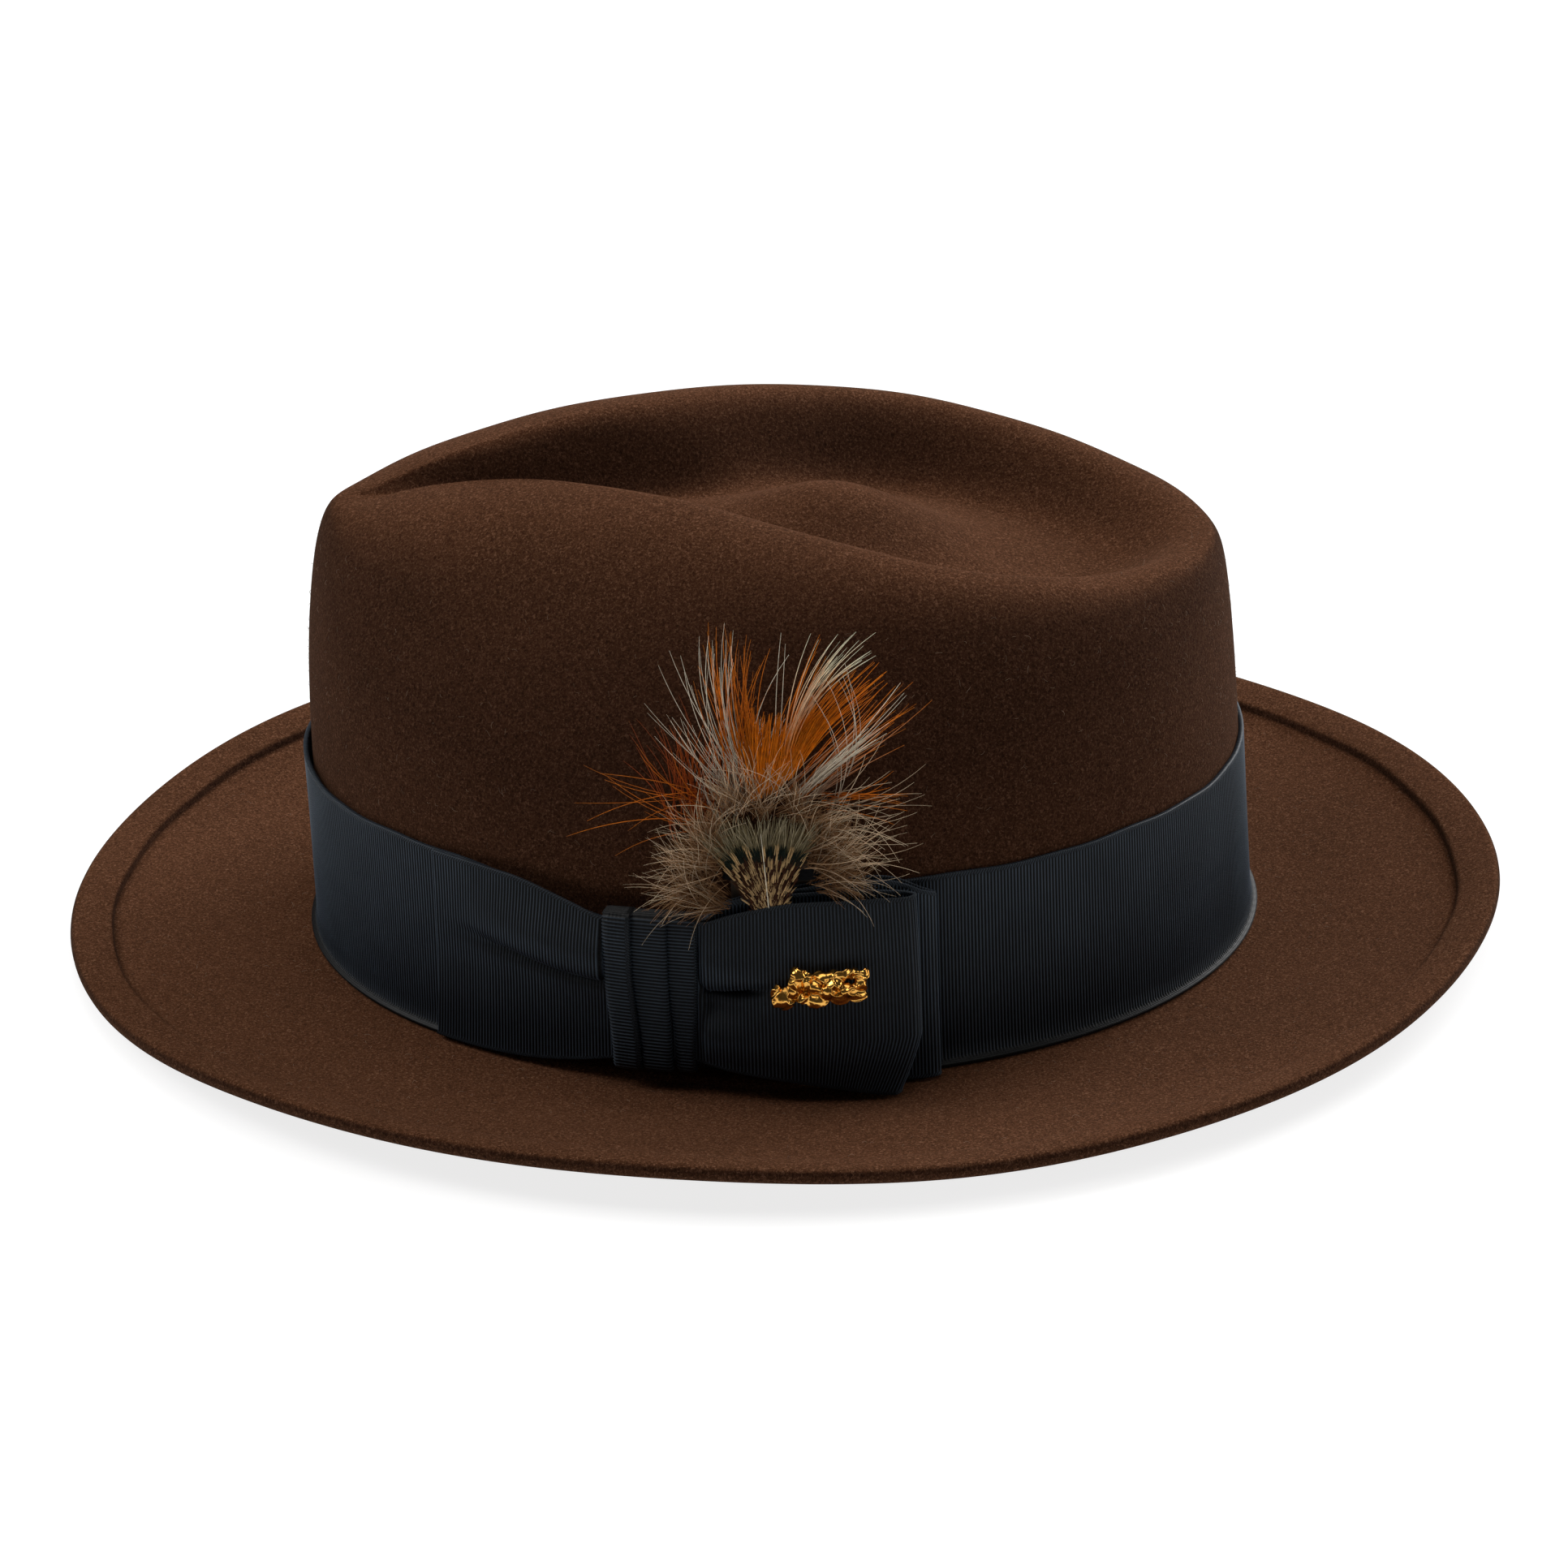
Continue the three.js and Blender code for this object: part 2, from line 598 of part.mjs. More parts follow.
// An irregular nugget, flat at its back.
function pinHead() {
  const half = { x: 9.6, y: 3.9, z: 2.2 };
  const rings = [];
  const ringCount = 7;
  const around = 22;
  for (let i = 1; i < ringCount; i++) {
    const drop = Math.PI * i / ringCount;
    rings.push(Array.from({ length: around }, (_, k) => {
      const turn = 2 * Math.PI * k / around;
      const lump = 1 + 0.1 * Math.sin(3 * turn + 1) + 0.09 * Math.sin(7 * turn) * Math.sin(2 * drop + 0.6);
      const x = half.x * Math.cos(turn) * Math.sin(drop) ** 0.7 * lump;
      const y = half.y * Math.sin(turn) * Math.sin(drop) ** 0.7 * lump;
      return new THREE.Vector3(x, y, Math.max(0, half.z * (Math.cos(drop) + 0.55) * lump));
    }));
  }
  const front = new THREE.Vector3(0, 0, half.z * 1.5);
  const geometry = poleSolid(front, rings.slice(0, 5), new THREE.Vector3(0, 0, 0));
  return geometry.translate(0, 0, BOW_RIBBON / 2 + GAP + 0.3);
}

function pinPost() {
  const start = BOW_RIBBON / 2 + 0.3;
  const profile = [
    new THREE.Vector2(0, start - POST_LENGTH),
    new THREE.Vector2(POST_RADIUS * 0.5, start - POST_LENGTH + 1),
    new THREE.Vector2(POST_RADIUS, start - POST_LENGTH + 2),
    new THREE.Vector2(POST_RADIUS, start),
    new THREE.Vector2(0, start),
  ];
  return new THREE.LatheGeometry(profile, 12).rotateX(Math.PI / 2);
}

// A flat keeper that grips the post inside the loop.
function pinClutch() {
  const top = -(BOW_RIBBON / 2 + GAP);
  const hub = { radius: 2.6, depth: 2.7, edge: 0.4 };
  const flange = { radius: 4.8, depth: 1.1, edge: 0.3 };
  const profile = [
    [POST_HOLE_RADIUS, 0],
    [POST_HOLE_RADIUS, hub.depth],
    [hub.radius - hub.edge, hub.depth],
    [hub.radius, hub.depth - hub.edge],
    [hub.radius, flange.depth],
    [flange.radius - flange.edge, flange.depth],
    [flange.radius, flange.depth - flange.edge],
    [flange.radius, flange.edge],
    [flange.radius - flange.edge, 0],
    [POST_HOLE_RADIUS, 0],
  ].map(([radius, depth]) => new THREE.Vector2(radius, top - depth));
  return new THREE.LatheGeometry(profile, 20).rotateX(Math.PI / 2);
}

function pierced(geometry, frame) {
  const drill = new THREE.CylinderGeometry(POST_HOLE_RADIUS, POST_HOLE_RADIUS, 3, 12).rotateX(Math.PI / 2);
  return fromManifold(toManifold(geometry).subtract(toManifold(drill.applyMatrix4(frame))));
}

// ---- Inside the crown ----

function insideStrip(angles, heights, depth, thickness) {
  const stations = angles.map((phi) => heights.map((z) => insidePoint(phi, z, depth)));
  return ribbon(stations, thickness);
}

function insideRing(heights, depthAt, thickness) {
  return loft(ringAngles.map((phi) => [
    ...heights.map((z) => insidePoint(phi, z, depthAt(z))),
    ...heights.map((z) => insidePoint(phi, z, depthAt(z) + thickness)).reverse(),
  ]), true);
}

// The lining follows the felt, then leans in above the sweatband.
function liningDepth(z) {
  return LINING_DEPTH + LINING_LEAN * Math.max(0, (z - LINING_BEND) / (LINING_TOP - LINING_BEND));
}

function reed() {
  const radius = 0.65;
  const sides = 6;
  return loft(ringAngles.map((phi) => Array.from({ length: sides }, (_, k) => {
    const turn = 2 * Math.PI * k / sides;
    const centre = wallPoint(phi, FELT, radius * Math.cos(turn) - SWEATBAND_DEPTH);
    return centre.setZ(1 + radius * Math.sin(turn));
  })), true);
}

// An oval sheet under the dent, a little domed. reach is its size as a share of the lining's top.
function sheet(reach, drop, thickness) {
  const rimZ = LINING_TOP - drop;
  const pointAt = (phi, share, lower) => {
    const rim = insidePoint(phi, LINING_TOP, 6.4);
    const z = rimZ + 3 * (1 - (share * reach) ** 2) - lower;
    return new THREE.Vector3(rim.x * share * reach, rim.y * share * reach, z);
  };
  const shares = [0.35, 0.7, 1];
  const rings = [
    ...shares.map((share) => ringAt((phi) => pointAt(phi, share, 0))),
    ...shares.map((share) => ringAt((phi) => pointAt(phi, share, thickness))).reverse(),
  ];
  return poleSolid(pointAt(0, 0, 0), rings, pointAt(0, 0, thickness));
}

function sweatbandBow() {
  const half = 12;
  const outline = new THREE.Shape();
  outline.moveTo(-1.6, -2);
  outline.lineTo(1.6, -2);
  outline.bezierCurveTo(half * 0.6, -5.5, half, -4.5, half, 0);
  outline.bezierCurveTo(half, 4.5, half * 0.6, 5.5, 1.6, 2);
  outline.lineTo(-1.6, 2);
  outline.bezierCurveTo(-half * 0.6, 5.5, -half, 4.5, -half, 0);
  outline.bezierCurveTo(-half, -4.5, -half * 0.6, -5.5, -1.6, -2);
  const geometry = new THREE.ExtrudeGeometry(outline, { depth: 1, bevelEnabled: false, curveSegments: 5 });
  geometry.rotateX(Math.PI / 2);
  const face = insidePoint(Math.PI, 9, SWEATBAND_DEPTH + SWEATBAND_THICKNESS / 2 + 1.5);
  return geometry.translate(0, face.y, 9);
}

// ---- Assembly ----

const hat = new THREE.Group();

function add(name, geometry, colour, roughness, metalness = 0, parent = hat) {
  const material = new THREE.MeshStandardMaterial({ color: COLOURS[colour], roughness, metalness });
  const mesh = new THREE.Mesh(geometry, material);
  mesh.name = name;
  parent.add(mesh);
}

const pinPlace = pinFrame();
add('felt_body', feltBody(), 'felt', 0.95);
add('hat_band', hatBand(), 'ribbon', 0.7);
add('bow_left_wing', leftWing(), 'ribbon', 0.7);
add('bow_knot', knot(), 'ribbon', 0.7);
add('bow_front_loop', pierced(frontLoop(), pinPlace), 'ribbon', 0.7);
add('bow_back_loop', backLoop(), 'ribbon', 0.7);

add('feather_card', featherCard(), 'card', 0.9);
add('quill_binding', quillBinding(), 'thread', 0.9);
for (const [name, shape] of Object.entries(FEATHERS)) {
  add(name, feather(shape), shape.colour, 0.8);
}

const pin = new THREE.Group();
pin.applyMatrix4(pinPlace);
add('pin_head', pinHead(), 'gold', 0.25, 1, pin);
add('pin_post', pinPost(), 'brass', 0.35, 1, pin);
add('pin_clutch', pinClutch(), 'brass', 0.35, 1, pin);
hat.add(pin);

const backJoint = stripAngles(Math.PI + 0.004, 0.008);
const sweatbandHeights = [SWEATBAND_FOOT, 26, SWEATBAND_TOP];
const sweatband = insideStrip(backJoint, sweatbandHeights, SWEATBAND_DEPTH, SWEATBAND_THICKNESS);
add('sweatband', sweatband, 'leather', 0.55);
add('sweatband_reed', reed(), 'reed', 0.5);
add('reed_tape', insideRing([0.8, 12], () => TAPE_DEPTH - 0.15, 0.3), 'tape', 0.9);
add('sweatband_bow', sweatbandBow(), 'ribbon', 0.7);
add('lining_wall', insideRing([13, 36, LINING_BEND, LINING_TOP], liningDepth, 0.3), 'satin', 0.4);
add('lining_tip', sheet(1, 0, 0.5), 'satin', 0.4);
add('tip_shield', sheet(0.8, 0.9, 0.3), 'clear', 0.1);
const tagAngles = [128, 133, 138].map(radians);
add('size_tag', insideStrip(tagAngles, [32, 42, 53], TAG_DEPTH, 0.25), 'paper', 0.9);

export default hat;
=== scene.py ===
import math
import bpy
import numpy as np
from mathutils import Euler, Matrix, Vector, noise


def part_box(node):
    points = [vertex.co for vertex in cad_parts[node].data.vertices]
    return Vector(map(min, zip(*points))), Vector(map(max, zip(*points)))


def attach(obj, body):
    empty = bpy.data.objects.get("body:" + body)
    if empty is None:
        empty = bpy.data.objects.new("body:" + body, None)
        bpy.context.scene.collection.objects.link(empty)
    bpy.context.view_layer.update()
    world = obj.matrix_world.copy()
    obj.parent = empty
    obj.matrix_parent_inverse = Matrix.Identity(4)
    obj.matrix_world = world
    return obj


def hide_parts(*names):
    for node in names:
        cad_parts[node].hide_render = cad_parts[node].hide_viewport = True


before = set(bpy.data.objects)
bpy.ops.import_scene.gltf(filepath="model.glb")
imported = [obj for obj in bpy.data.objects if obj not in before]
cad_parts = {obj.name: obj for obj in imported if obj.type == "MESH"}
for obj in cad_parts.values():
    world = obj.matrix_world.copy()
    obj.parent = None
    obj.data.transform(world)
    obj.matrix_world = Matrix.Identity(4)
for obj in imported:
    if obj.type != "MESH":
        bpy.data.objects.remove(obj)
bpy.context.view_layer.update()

# ---- Sizes, in millimetres, the same as the solids' ----
FELT = 2.0
HALF_LENGTH = 100.5
HALF_WIDTH = 86
FILLET = 3
REST_RING = 9
BRIM_WIDTH = 55.8
BRIM_SIDE_EXTRA = 1.2
WELT_WIDTH = 9.5
WELT_RISE = 1.5
RIDGE_HALF_LENGTH = 90.5
FRONT_PEAK = 1.6
SHOULDER = 42
PINCH_DEPTH = 3
REAR_LEAN = 0.048
DENT_Y = 8
RIB_PITCH = 0.75
RIB_HEIGHT = 0.28
BAND_FOOT = 2.6
BAND_TOP = 44.6
KNOT_START = 71.5
KNOT_END = 82
FEATHER_LEAN = 0.15
SWEATBAND_DEPTH = 4.1
LINING_TOP = 70

HAT = "hat"
MOUNT = "feather_mount"
PIN = "pin"


# ---- Camera, light and floor ----
def make_camera():
    data = bpy.data.cameras.new("camera")
    camera = bpy.data.objects.new("camera", data)
    bpy.context.collection.objects.link(camera)
    azimuth, elevation, roll = (math.radians(angle) for angle in (92, 25, 1.55))
    distance = 1.3
    turn = Euler((math.pi / 2 - elevation, 0, azimuth)).to_matrix().to_4x4() @ Matrix.Rotation(-roll, 4, "Z")
    aim = Matrix.Translation((0, 0, 0.002))
    camera.matrix_world = aim @ turn @ Matrix.Translation((0, 0, distance))
    data.sensor_width = 36
    data.lens = 136.742
    data.shift_y = 0.0745
    data.clip_start = 0.05
    data.clip_end = 20
    bpy.context.scene.camera = camera


def make_light(name, location, size, power, colour):
    """A soft box aimed at the middle of the hat."""
    data = bpy.data.lights.new(name, "AREA")
    data.shape = "RECTANGLE"
    data.size, data.size_y = size
    data.energy = power
    data.color = colour
    light = bpy.data.objects.new(name, data)
    light.location = location
    light.rotation_euler = (Vector((0, 0, 0.05)) - Vector(location)).to_track_quat("-Z", "Y").to_euler()
    light.visible_camera = False
    bpy.context.collection.objects.link(light)


def make_studio():
    world = bpy.data.worlds.new("studio")
    world.use_nodes = True
    sky = world.node_tree.nodes["Background"]
    sky.inputs["Color"].default_value = (1, 1, 1, 1)
    sky.inputs["Strength"].default_value = 0.06
    bpy.context.scene.world = world
    bpy.context.scene.view_settings.view_transform = "Standard"
    white = (1, 1, 1)
    warm_white = (1, 0.985, 0.96)
    make_light("top", (0, 0, 2.1), (1.9, 1.9), 22, warm_white)
    make_light("top_back", (-1.0, 0, 1.9), (1.4, 1.4), 7, warm_white)
    make_light("left", (-0.2, -1.5, 1.3), (1.0, 1.0), 21, white)
    make_light("right", (-0.2, 1.8, 0.45), (0.9, 0.6), 8, white)
    make_light("back", (-1.3, 1.2, 0.9), (1.0, 1.0), 37, white)
    bpy.ops.mesh.primitive_plane_add(size=12, location=(0, 0, 0))
    floor = bpy.context.object
    floor.name = "floor"
    # A light table: pale, and lit a little from below.
    table = Nodes("pale_floor").surface(Base_Color=(0.26, 0.26, 0.26), Roughness=0.9,
                                        Emission_Color=(1, 1, 1), Emission_Strength=0.80)
    floor.data.materials.append(table)


# ---- Materials ----
class Nodes:
    """A material's node tree, with short calls to add and link nodes."""

    def __init__(self, name):
        self.material = bpy.data.materials.new(name)
        self.material.use_nodes = True
        self.tree = self.material.node_tree
        self.shader = self.tree.nodes["Principled BSDF"]
        self.place = self.add("ShaderNodeTexCoord").outputs["Object"]

    def feed(self, socket, value):
        """Links a socket to another one, or gives it a number or a colour."""
        if isinstance(value, bpy.types.NodeSocket):
            self.tree.links.new(value, socket)
        else:
            socket.default_value = (*value, 1) if isinstance(value, tuple) else value

    def add(self, kind, **values):
        node = self.tree.nodes.new(kind)
        for key, value in values.items():
            if hasattr(node, key):
                setattr(node, key, value)
            else:
                self.feed(node.inputs[key.replace("_", " ")], value)
        return node

    def surface(self, **values):
        """Sets the shader's inputs and gives the finished material."""
        for key, value in values.items():
            self.feed(self.shader.inputs[key.replace("_", " ")], value)
        return self.material

    def noise(self, scale, detail, roughness=0.5, distortion=0.0):
        node = self.add("ShaderNodeTexNoise", Vector=self.place, Scale=scale, Detail=detail,
                        Roughness=roughness, Distortion=distortion)
        return node.outputs["Fac"]

    def ramp(self, source, stops):
        """A colour ramp; a stop's colour may be one number, for a grey."""
        node = self.add("ShaderNodeValToRGB", Fac=source)
        elements = node.color_ramp.elements
        while len(elements) < len(stops):
            elements.new(0.5)
        for element, (position, colour) in zip(elements, stops):
            element.position = position
            element.color = (*colour, 1) if isinstance(colour, tuple) else (colour, colour, colour, 1)
        return node.outputs["Color"]

    def power(self, value, exponent):
        node = self.add("ShaderNodeMath", operation="POWER")
        self.feed(node.inputs[0], value)
        self.feed(node.inputs[1], exponent)
        return node.outputs[0]

    def mix(self, factor, first, second, blend="MIX"):
        node = self.add("ShaderNodeMix", data_type="RGBA", blend_type=blend)
        # The node's sockets for colours come after those for numbers and vectors.
        for index, value in ((0, factor), (6, first), (7, second)):
            self.feed(node.inputs[index], value)
        return node.outputs[2]

    def bump(self, height, distance, strength, normal=None):
        node = self.add("ShaderNodeBump", Height=height, Distance=distance, Strength=strength)
        if normal:
            self.feed(node.inputs["Normal"], normal)
        return node.outputs["Normal"]

    def attribute(self, name):
        return self.add("ShaderNodeAttribute", attribute_name=name).outputs["Vector"]


def felt_material():
    nodes = Nodes("fur_felt")
    cloud = nodes.noise(38, 4, 0.6)
    blotch = nodes.noise(420, 3, 0.6, 0.4)
    grain = nodes.noise(1900, 3, 0.7, 0.8)
    base = nodes.ramp(cloud, [(0.3, (0.0530, 0.0215, 0.0102)), (0.7, (0.0650, 0.0262, 0.0128))])
    patch = nodes.ramp(blotch, [(0.35, 0), (0.7, 0.6)])
    base = nodes.mix(patch, base, (0.0810, 0.0345, 0.0175))
    dark = nodes.ramp(grain, [(0.36, 0.75), (0.5, 0)])
    base = nodes.mix(dark, base, (0.0190, 0.0075, 0.0036))
    light = nodes.ramp(grain, [(0.53, 0), (0.66, 1)])
    base = nodes.mix(light, base, (0.1500, 0.0740, 0.0440))
    fibre = nodes.noise(1300, 2, 0.5, 4.0)
    fibre_share = nodes.ramp(fibre, [(0.69, 0), (0.74, 0.45)])
    base = nodes.mix(fibre_share, base, (0.20, 0.115, 0.075))
    # Painted light and shade by which way the surface faces: lightest where it faces up, on the brim and the
    # crown's top, dark on the wall and darkest under the shoulder.
    facing = nodes.add("ShaderNodeNewGeometry").outputs["Normal"]
    upward = nodes.add("ShaderNodeSeparateXYZ", Vector=facing).outputs[2]
    painted_light_by_facing = nodes.ramp(upward, [(0.08, (0.64, 0.62, 0.60)), (0.32, (0.47, 0.45, 0.44)),
                              (0.62, (0.53, 0.51, 0.49)), (0.93, (1.1, 1.06, 0.98))])
    base = nodes.mix(1.0, base, painted_light_by_facing, "MULTIPLY")
    coarse = nodes.bump(blotch, 0.0003, 0.6)
    fine = nodes.bump(grain, 0.0004, 0.9, coarse)
    return nodes.surface(Base_Color=base, Normal=fine, Roughness=1.0, Specular_IOR_Level=0.03,
                         Sheen_Weight=0.05, Sheen_Roughness=0.4, Sheen_Tint=(0.8, 0.46, 0.28))


def ribbon_material():
    nodes = Nodes("grosgrain")
    weave = nodes.attribute("weave")
    # The weave attribute's third value is the ribs' painted light and shade, set in ribbed.
    crest = nodes.add("ShaderNodeSeparateXYZ", Vector=weave).outputs[2]
    threads = nodes.add("ShaderNodeTexWave", Vector=weave, wave_type="BANDS", bands_direction="Y",
                        Scale=0.9, Distortion=1.5, Detail=2.0, Detail_Scale=2.0)
    cloud = nodes.noise(60, 3, 0.6)
    dust = nodes.noise(3000, 2, 0.6)
    lift = nodes.ramp(cloud, [(0.3, (0.0530, 0.0750, 0.1020)), (0.75, (0.0840, 0.1170, 0.1560))])
    # Painted light: the crests take the lit colour, the grooves a near-black painted shade.
    painted_light = nodes.power(crest, 6.0)
    base = nodes.mix(painted_light, (0.0004, 0.0005, 0.0007), lift)
    speck = nodes.ramp(dust, [(0.66, 0), (0.76, 0.3)])
    base = nodes.mix(speck, base, (0.055, 0.06, 0.065))
    normal = nodes.bump(dust, 0.00006, 0.5, nodes.bump(threads.outputs["Fac"], 0.00005, 0.6))
    return nodes.surface(Base_Color=base, Normal=normal, Roughness=0.5, Specular_IOR_Level=0.18,
                         Sheen_Weight=0.01, Sheen_Roughness=0.4, Sheen_Tint=(0.6, 0.7, 0.85))


def strand_material(name, roughness, gloss):
    """Barbs, fluff or thread: its colour is the strands' own tone, uneven along each one."""
    nodes = Nodes(name)
    tone = nodes.attribute("tone")
    streak = nodes.noise(900, 2, 0.5)
    shade = nodes.ramp(streak, [(0.3, 0.72), (0.7, 1)])
    base = nodes.mix(1.0, tone, shade, "MULTIPLY")
    return nodes.surface(Base_Color=base, Roughness=roughness, Specular_IOR_Level=gloss)


def metal_material(name, colour, deep, roughness, dents=0.5):
    nodes = Nodes(name)
    wear = nodes.noise(700, 4, 0.6)
    rough = nodes.ramp(wear, [(0.3, roughness * 1.8), (0.7, roughness)])
    base = nodes.ramp(wear, [(0.35, deep), (0.62, colour)])
    normal = nodes.bump(nodes.noise(1500, 2), 0.00008, dents)
    return nodes.surface(Base_Color=base, Roughness=rough, Normal=normal, Metallic=1.0)


def leather_material():
    nodes = Nodes("sweatband_leather")
    cells = nodes.add("ShaderNodeTexVoronoi", Vector=nodes.place, Scale=900.0).outputs["Distance"]
    cloud = nodes.noise(40, 4, 0.6)
    base = nodes.ramp(cloud, [(0.3, (0.080, 0.036, 0.017)), (0.7, (0.125, 0.060, 0.030))])
    rough = nodes.ramp(cloud, [(0.3, 0.38), (0.7, 0.55)])
    return nodes.surface(Base_Color=base, Roughness=rough, Normal=nodes.bump(cells, 0.00012, 0.6))


def satin_material():
    nodes = Nodes("lining_satin")
    cloud = nodes.noise(30, 3, 0.5)
    weave = nodes.add("ShaderNodeTexWave", Vector=nodes.place, wave_type="BANDS", bands_direction="Z",
                      Scale=900.0, Distortion=0.6)
    base = nodes.ramp(cloud, [(0.3, (0.22, 0.135, 0.07)), (0.7, (0.30, 0.19, 0.105))])
    normal = nodes.bump(weave.outputs["Fac"], 0.00004, 0.5)
    return nodes.surface(Base_Color=base, Normal=normal, Roughness=0.32, Anisotropic=0.5, Sheen_Weight=0.2,
                         Sheen_Tint=(0.9, 0.75, 0.55))


def grained_material(name, colour, other, roughness, scale=800, height=0.00006, **settings):
    """A plain surface whose colour wanders between two, with a fine grain."""
    nodes = Nodes(name)
    grain = nodes.noise(scale, 4, 0.65)
    base = nodes.ramp(grain, [(0.35, colour), (0.65, other)])
    normal = nodes.bump(grain, height, 0.6)
    return nodes.surface(Base_Color=base, Normal=normal, Roughness=roughness, **settings)


# ---- Meshes ----
def mesh_object(name, points, faces, material, body, replaced=(), attributes=None):
    mesh = bpy.data.meshes.new(name)
    mesh.from_pydata((np.asarray(points) * 0.001).tolist(), [], faces)
    mesh.validate()
    mesh.polygons.foreach_set("use_smooth", [True] * len(mesh.polygons))
    for key, values in (attributes or {}).items():
        layer = mesh.attributes.new(key, "FLOAT_VECTOR", "POINT")
        layer.data.foreach_set("vector", np.asarray(values, dtype=np.float32).ravel())
    mesh.materials.append(material)
    piece = bpy.data.objects.new(name, mesh)
    bpy.context.collection.objects.link(piece)
    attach(piece, body)
    if replaced:
        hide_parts(*replaced)
    return piece


def grid_faces(rows, columns, wrap_columns=True, wrap_rows=False, start=0):
    """Quads between neighbouring points of a grid that is numbered row by row."""
    i = np.arange(rows if wrap_rows else rows - 1)
    j = np.arange(columns if wrap_columns else columns - 1)
    i, j = np.meshgrid(i, j, indexing="ij")
    up = (i + 1) % rows
    next_j = (j + 1) % columns
    quads = np.stack([i * columns + j, i * columns + next_j, up * columns + next_j, up * columns + j], -1)
    return (quads.reshape(-1, 4) + start).tolist()


def unit(vectors):
    return vectors / np.maximum(np.linalg.norm(vectors, axis=-1, keepdims=True), 1e-9)


def grid_normals(grid, wrap=False):
    """Unit normals of a grid of points, by rows and columns."""
    down = np.gradient(grid, axis=0)
    if wrap:
        across = (np.roll(grid, -1, axis=1) - np.roll(grid, 1, axis=1)) / 2
    else:
        across = np.gradient(grid, axis=1)
    return unit(np.cross(across, down))


def full_turn(count):
    return np.linspace(0, 2 * math.pi, count, endpoint=False)


def smoothstep(value, low, high):
    share = np.clip((value - low) / (high - low), 0, 1)
    return share * share * (3 - 2 * share)


def bell(distance, width):
    return np.exp(-((distance / width) ** 2))


# ---- The shape of the crown and brim, the same as the solids' ----
def oval_point(phi):
    return np.stack([HALF_WIDTH * np.sin(phi), -HALF_LENGTH * np.cos(phi), 0 * phi], -1)


def oval_normal(phi):
    return unit(np.stack([HALF_LENGTH * np.sin(phi), -HALF_WIDTH * np.cos(phi), 0 * phi], -1))


def side_angle(phi):
    return np.abs(np.arctan2(np.sin(phi), np.cos(phi)))


def ridge_point(phi):
    back = -np.cos(phi)
    half_width = 41.6 + 35.5 * back - 14.3 * back ** 2 - 15 * back ** 3
    peak = FRONT_PEAK * bell(side_angle(phi), 0.25)
    height = 105.9 - 13.3 * back - 14.2 * back ** 2 + 9 * back ** 3 + peak
    return np.stack([half_width * np.sin(phi), RIDGE_HALF_LENGTH * back, height], -1)


def wall_lean(phi, z):
    return REAR_LEAN * (1 - np.cos(phi)) / 2 * (z - FELT)


def shoulder_point(phi, rise, inward):
    ridge = ridge_point(phi)
    z = SHOULDER + (ridge[..., 2] - SHOULDER) * rise
    foot = oval_point(phi) - oval_normal(phi) * (wall_lean(phi, z) * (1 - inward))[..., None]
    pinch = PINCH_DEPTH * bell(side_angle(phi) - math.radians(50), 0.4) * bell(rise - 0.78, 0.22)
    flat_ridge = ridge * (1, 1, 0)
    point = foot + (flat_ridge - foot) * inward[..., None] - oval_normal(phi) * pinch[..., None]
    point[..., 2] = z
    return point


def shoulder_power(phi):
    return 2.16 + 0.48 * np.cos(2 * phi)


def wall_point(phi, z, out=0.0):
    """The outside of the wall at a height, with any distance out from it."""
    phi, z, out = np.broadcast_arrays(phi, z, out)
    low = oval_point(phi) - oval_normal(phi) * wall_lean(phi, z)[..., None]
    rise = np.clip((z - SHOULDER) / (ridge_point(phi)[..., 2] - SHOULDER), 0, 1)
    power = shoulder_power(phi)
    high = shoulder_point(phi, rise, 1 - (1 - rise ** power) ** (1 / power))
    point = np.where((z <= SHOULDER)[..., None], low, high) + oval_normal(phi) * out[..., None]
    point[..., 2] = z
    return point


def brim_width(phi):
    return BRIM_WIDTH - BRIM_SIDE_EXTRA * np.cos(2 * phi)


def brim_rise(phi):
    back = -np.cos(phi)
    return 6.2 + 1.35 * back - 0.8 * np.cos(2 * phi) + 1.5 * np.cos(3 * phi + math.pi)


def brim_point(phi, out):
    share = np.maximum(0, (out - REST_RING) / (brim_width(phi) - REST_RING))
    point = oval_point(phi) + oval_normal(phi) * out[..., None]
    point[..., 2] = FELT + brim_rise(phi) * share ** 1.5
    return point


def dent_point(phi, inward):
    ridge = ridge_point(phi)
    x = ridge[..., 0] * (1 - inward)
    y = ridge[..., 1] + (DENT_Y - ridge[..., 1]) * inward
    from_ridge = inward * np.hypot(ridge[..., 0], ridge[..., 1] - DENT_Y)
    fall = np.sin(math.pi / 2 * np.minimum(1, from_ridge / 24)) ** 2
    swell = bell(x, 18) * bell(y - 14, 24)
    floor = 88 - 0.125 * y + 12.5 * swell
    return np.stack([x, y, ridge[..., 2] + (floor - ridge[..., 2]) * fall], -1)


def felt_point(phi, t):
    """The outside of the felt: the dent to t 1, the wall to 2, the fillet to 3."""
    if t <= 1:
        return dent_point(phi, 1 - t)
    if t <= 2:
        turn = (2 - t) * 1.35
        if turn <= 0.35:
            return wall_point(phi, 5 + (SHOULDER - 5) * turn / 0.35)
        angle = (turn - 0.35) * math.pi / 2
        power = 2 / shoulder_power(phi)
        return shoulder_point(phi, math.sin(angle) ** power, 1 - math.cos(angle) ** power)
    angle = (t - 2) * math.pi / 2
    return wall_point(phi, FELT + FILLET * (1 - math.sin(angle)), FILLET * (1 - math.cos(angle)))


def felt_normal(phi, t):
    step = 1e-3
    around = felt_point(phi + step, t) - felt_point(phi - step, t)
    along = felt_point(phi, min(3, t + step)) - felt_point(phi, max(step, t - step))
    return unit(np.cross(along, around))


